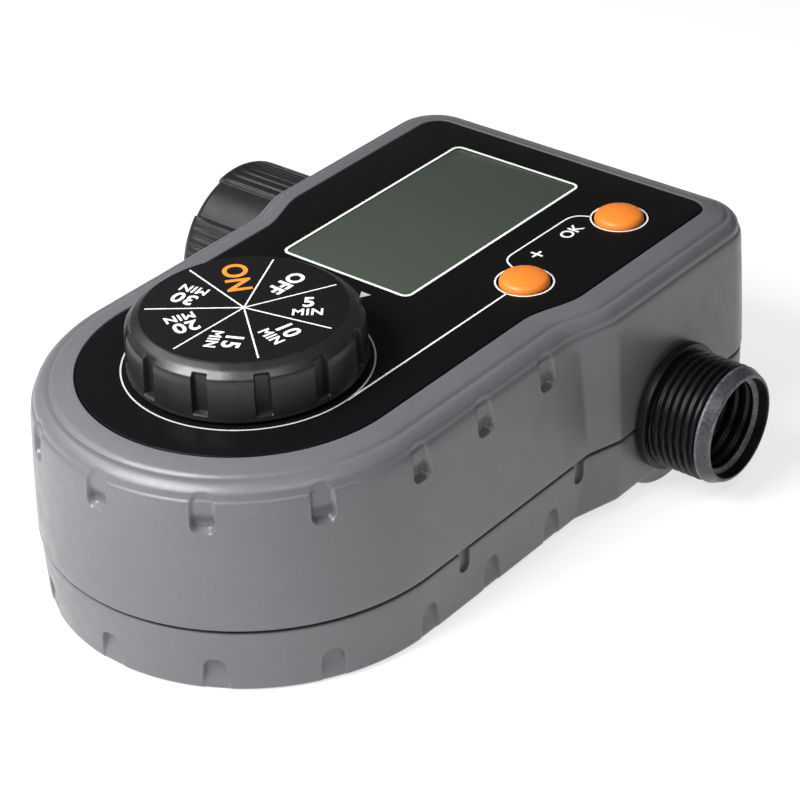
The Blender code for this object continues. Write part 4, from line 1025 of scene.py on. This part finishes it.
# ------------------------------------------------------------------ carried-over CAD pieces: finishes by what they are made of
FINISH = {
    "ball_seat_inlet": WHITE, "ball_seat_outlet": WHITE, "battery_1": CELL, "battery_2": CELL, "battery_contact_negative": STEEL,
    "battery_contact_positive": STEEL, "battery_lead_black": LEAD_BLACK, "battery_lead_red": RED, "battery_link_contact": STEEL,
    "battery_spring_1": STEEL, "battery_spring_2": STEEL, "battery_tray": INNER_BLACK, "collar_retaining_ring": STEEL,
    "dial_seal": RUBBER, "dial_shaft": STEEL, "drive_motor": STEEL, "gear_axle_1": STEEL, "gear_axle_2": STEEL,
    "gearbox_base": INNER_BLACK, "gearbox_cover": INNER_BLACK, "housing_seal_back": RUBBER, "housing_seal_front": RUBBER,
    "idler_gear_1": WHITE, "idler_gear_2": WHITE, "lcd_connector": RUBBER, "limit_switch": INNER_BLACK, "main_board": BOARD,
    "motor_lead_black": LEAD_BLACK, "motor_lead_red": RED, "motor_pinion": BRASS, "motor_shaft": STEEL, "output_gear": WHITE,
    "processor_chip": INNER_BLACK, "rotary_encoder": STEEL, "stem_o_ring": RUBBER, "tact_switch_ok": INNER_BLACK,
    "tact_switch_plus": INNER_BLACK, "valve_stem": BRASS,
}
for node, mat in FINISH.items():
    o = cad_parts[node]
    o.data.materials.clear()
    o.data.materials.append(mat)

# ------------------------------------------------------------------ floor, light
# the timer lies on its collar, its rear bulge and the round end's lower edge
A, B, C = Vector((-64.0, 80.0, -5.88)), Vector((47.0, 80.0, -3.92)), Vector((8.0, -43.0, -0.02))
normal = (B - A).cross(C - A).normalized()
if normal.z < 0:
    normal = -normal
ux = Vector((1, 0, 0)) - normal * normal.x
ux.normalize()
uy = normal.cross(ux)
centre = A * 0.4 + B * 0.3 + C * 0.3 - normal * 0.12
S = 3000.0
fm = bpy.data.materials.new("m_floor")
fm.use_nodes = True
fb = fm.node_tree.nodes["Principled BSDF"]
fb.inputs["Base Color"].default_value = (0.45, 0.45, 0.45, 1)
fb.inputs["Roughness"].default_value = 0.85
fb.inputs["Specular IOR Level"].default_value = 0.1
fb.inputs["Emission Color"].default_value = (1, 1, 1, 1)
fb.inputs["Emission Strength"].default_value = 0.70
floor = make("floor", [centre + ux * (S * i) + uy * (S * j) for i, j in ((-1, -1), (1, -1), (1, 1), (-1, 1))], [(0, 1, 2, 3)], fm, smooth=0, recalc=False)
floor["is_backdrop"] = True

world = bpy.data.worlds.new("studio")
world.use_nodes = True
bg = world.node_tree.nodes["Background"]
bg.inputs["Color"].default_value = (1, 1, 1, 1)
bg.inputs["Strength"].default_value = 0.11
scene.world = world

TARGET = Vector((-2, 35, 25))


def softbox(name, azimuth, elevation, distance, w, h, watts, colour=(1, 1, 1)):
    a, e = rad(azimuth), rad(elevation)
    d = Vector((math.sin(a) * math.cos(e), -math.cos(a) * math.cos(e), math.sin(e)))
    li = bpy.data.lights.new(name, "AREA")
    li.shape = "RECTANGLE"
    li.size, li.size_y = w, h
    li.energy = watts
    li.color = colour
    o = bpy.data.objects.new(name, li)
    scene.collection.objects.link(o)
    o.location = TARGET * MM + d * distance
    o.rotation_mode = "QUATERNION"
    o.rotation_quaternion = (-d).to_track_quat("-Z", "Y")
    return o


softbox("key", -14, 48, 0.46, 0.28, 0.20, 3.7)
softbox("left", -72, 42, 0.70, 0.30, 0.20, 0.8)
softbox("front_right", 62, 52, 0.70, 0.30, 0.14, 1.0)

lo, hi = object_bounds()
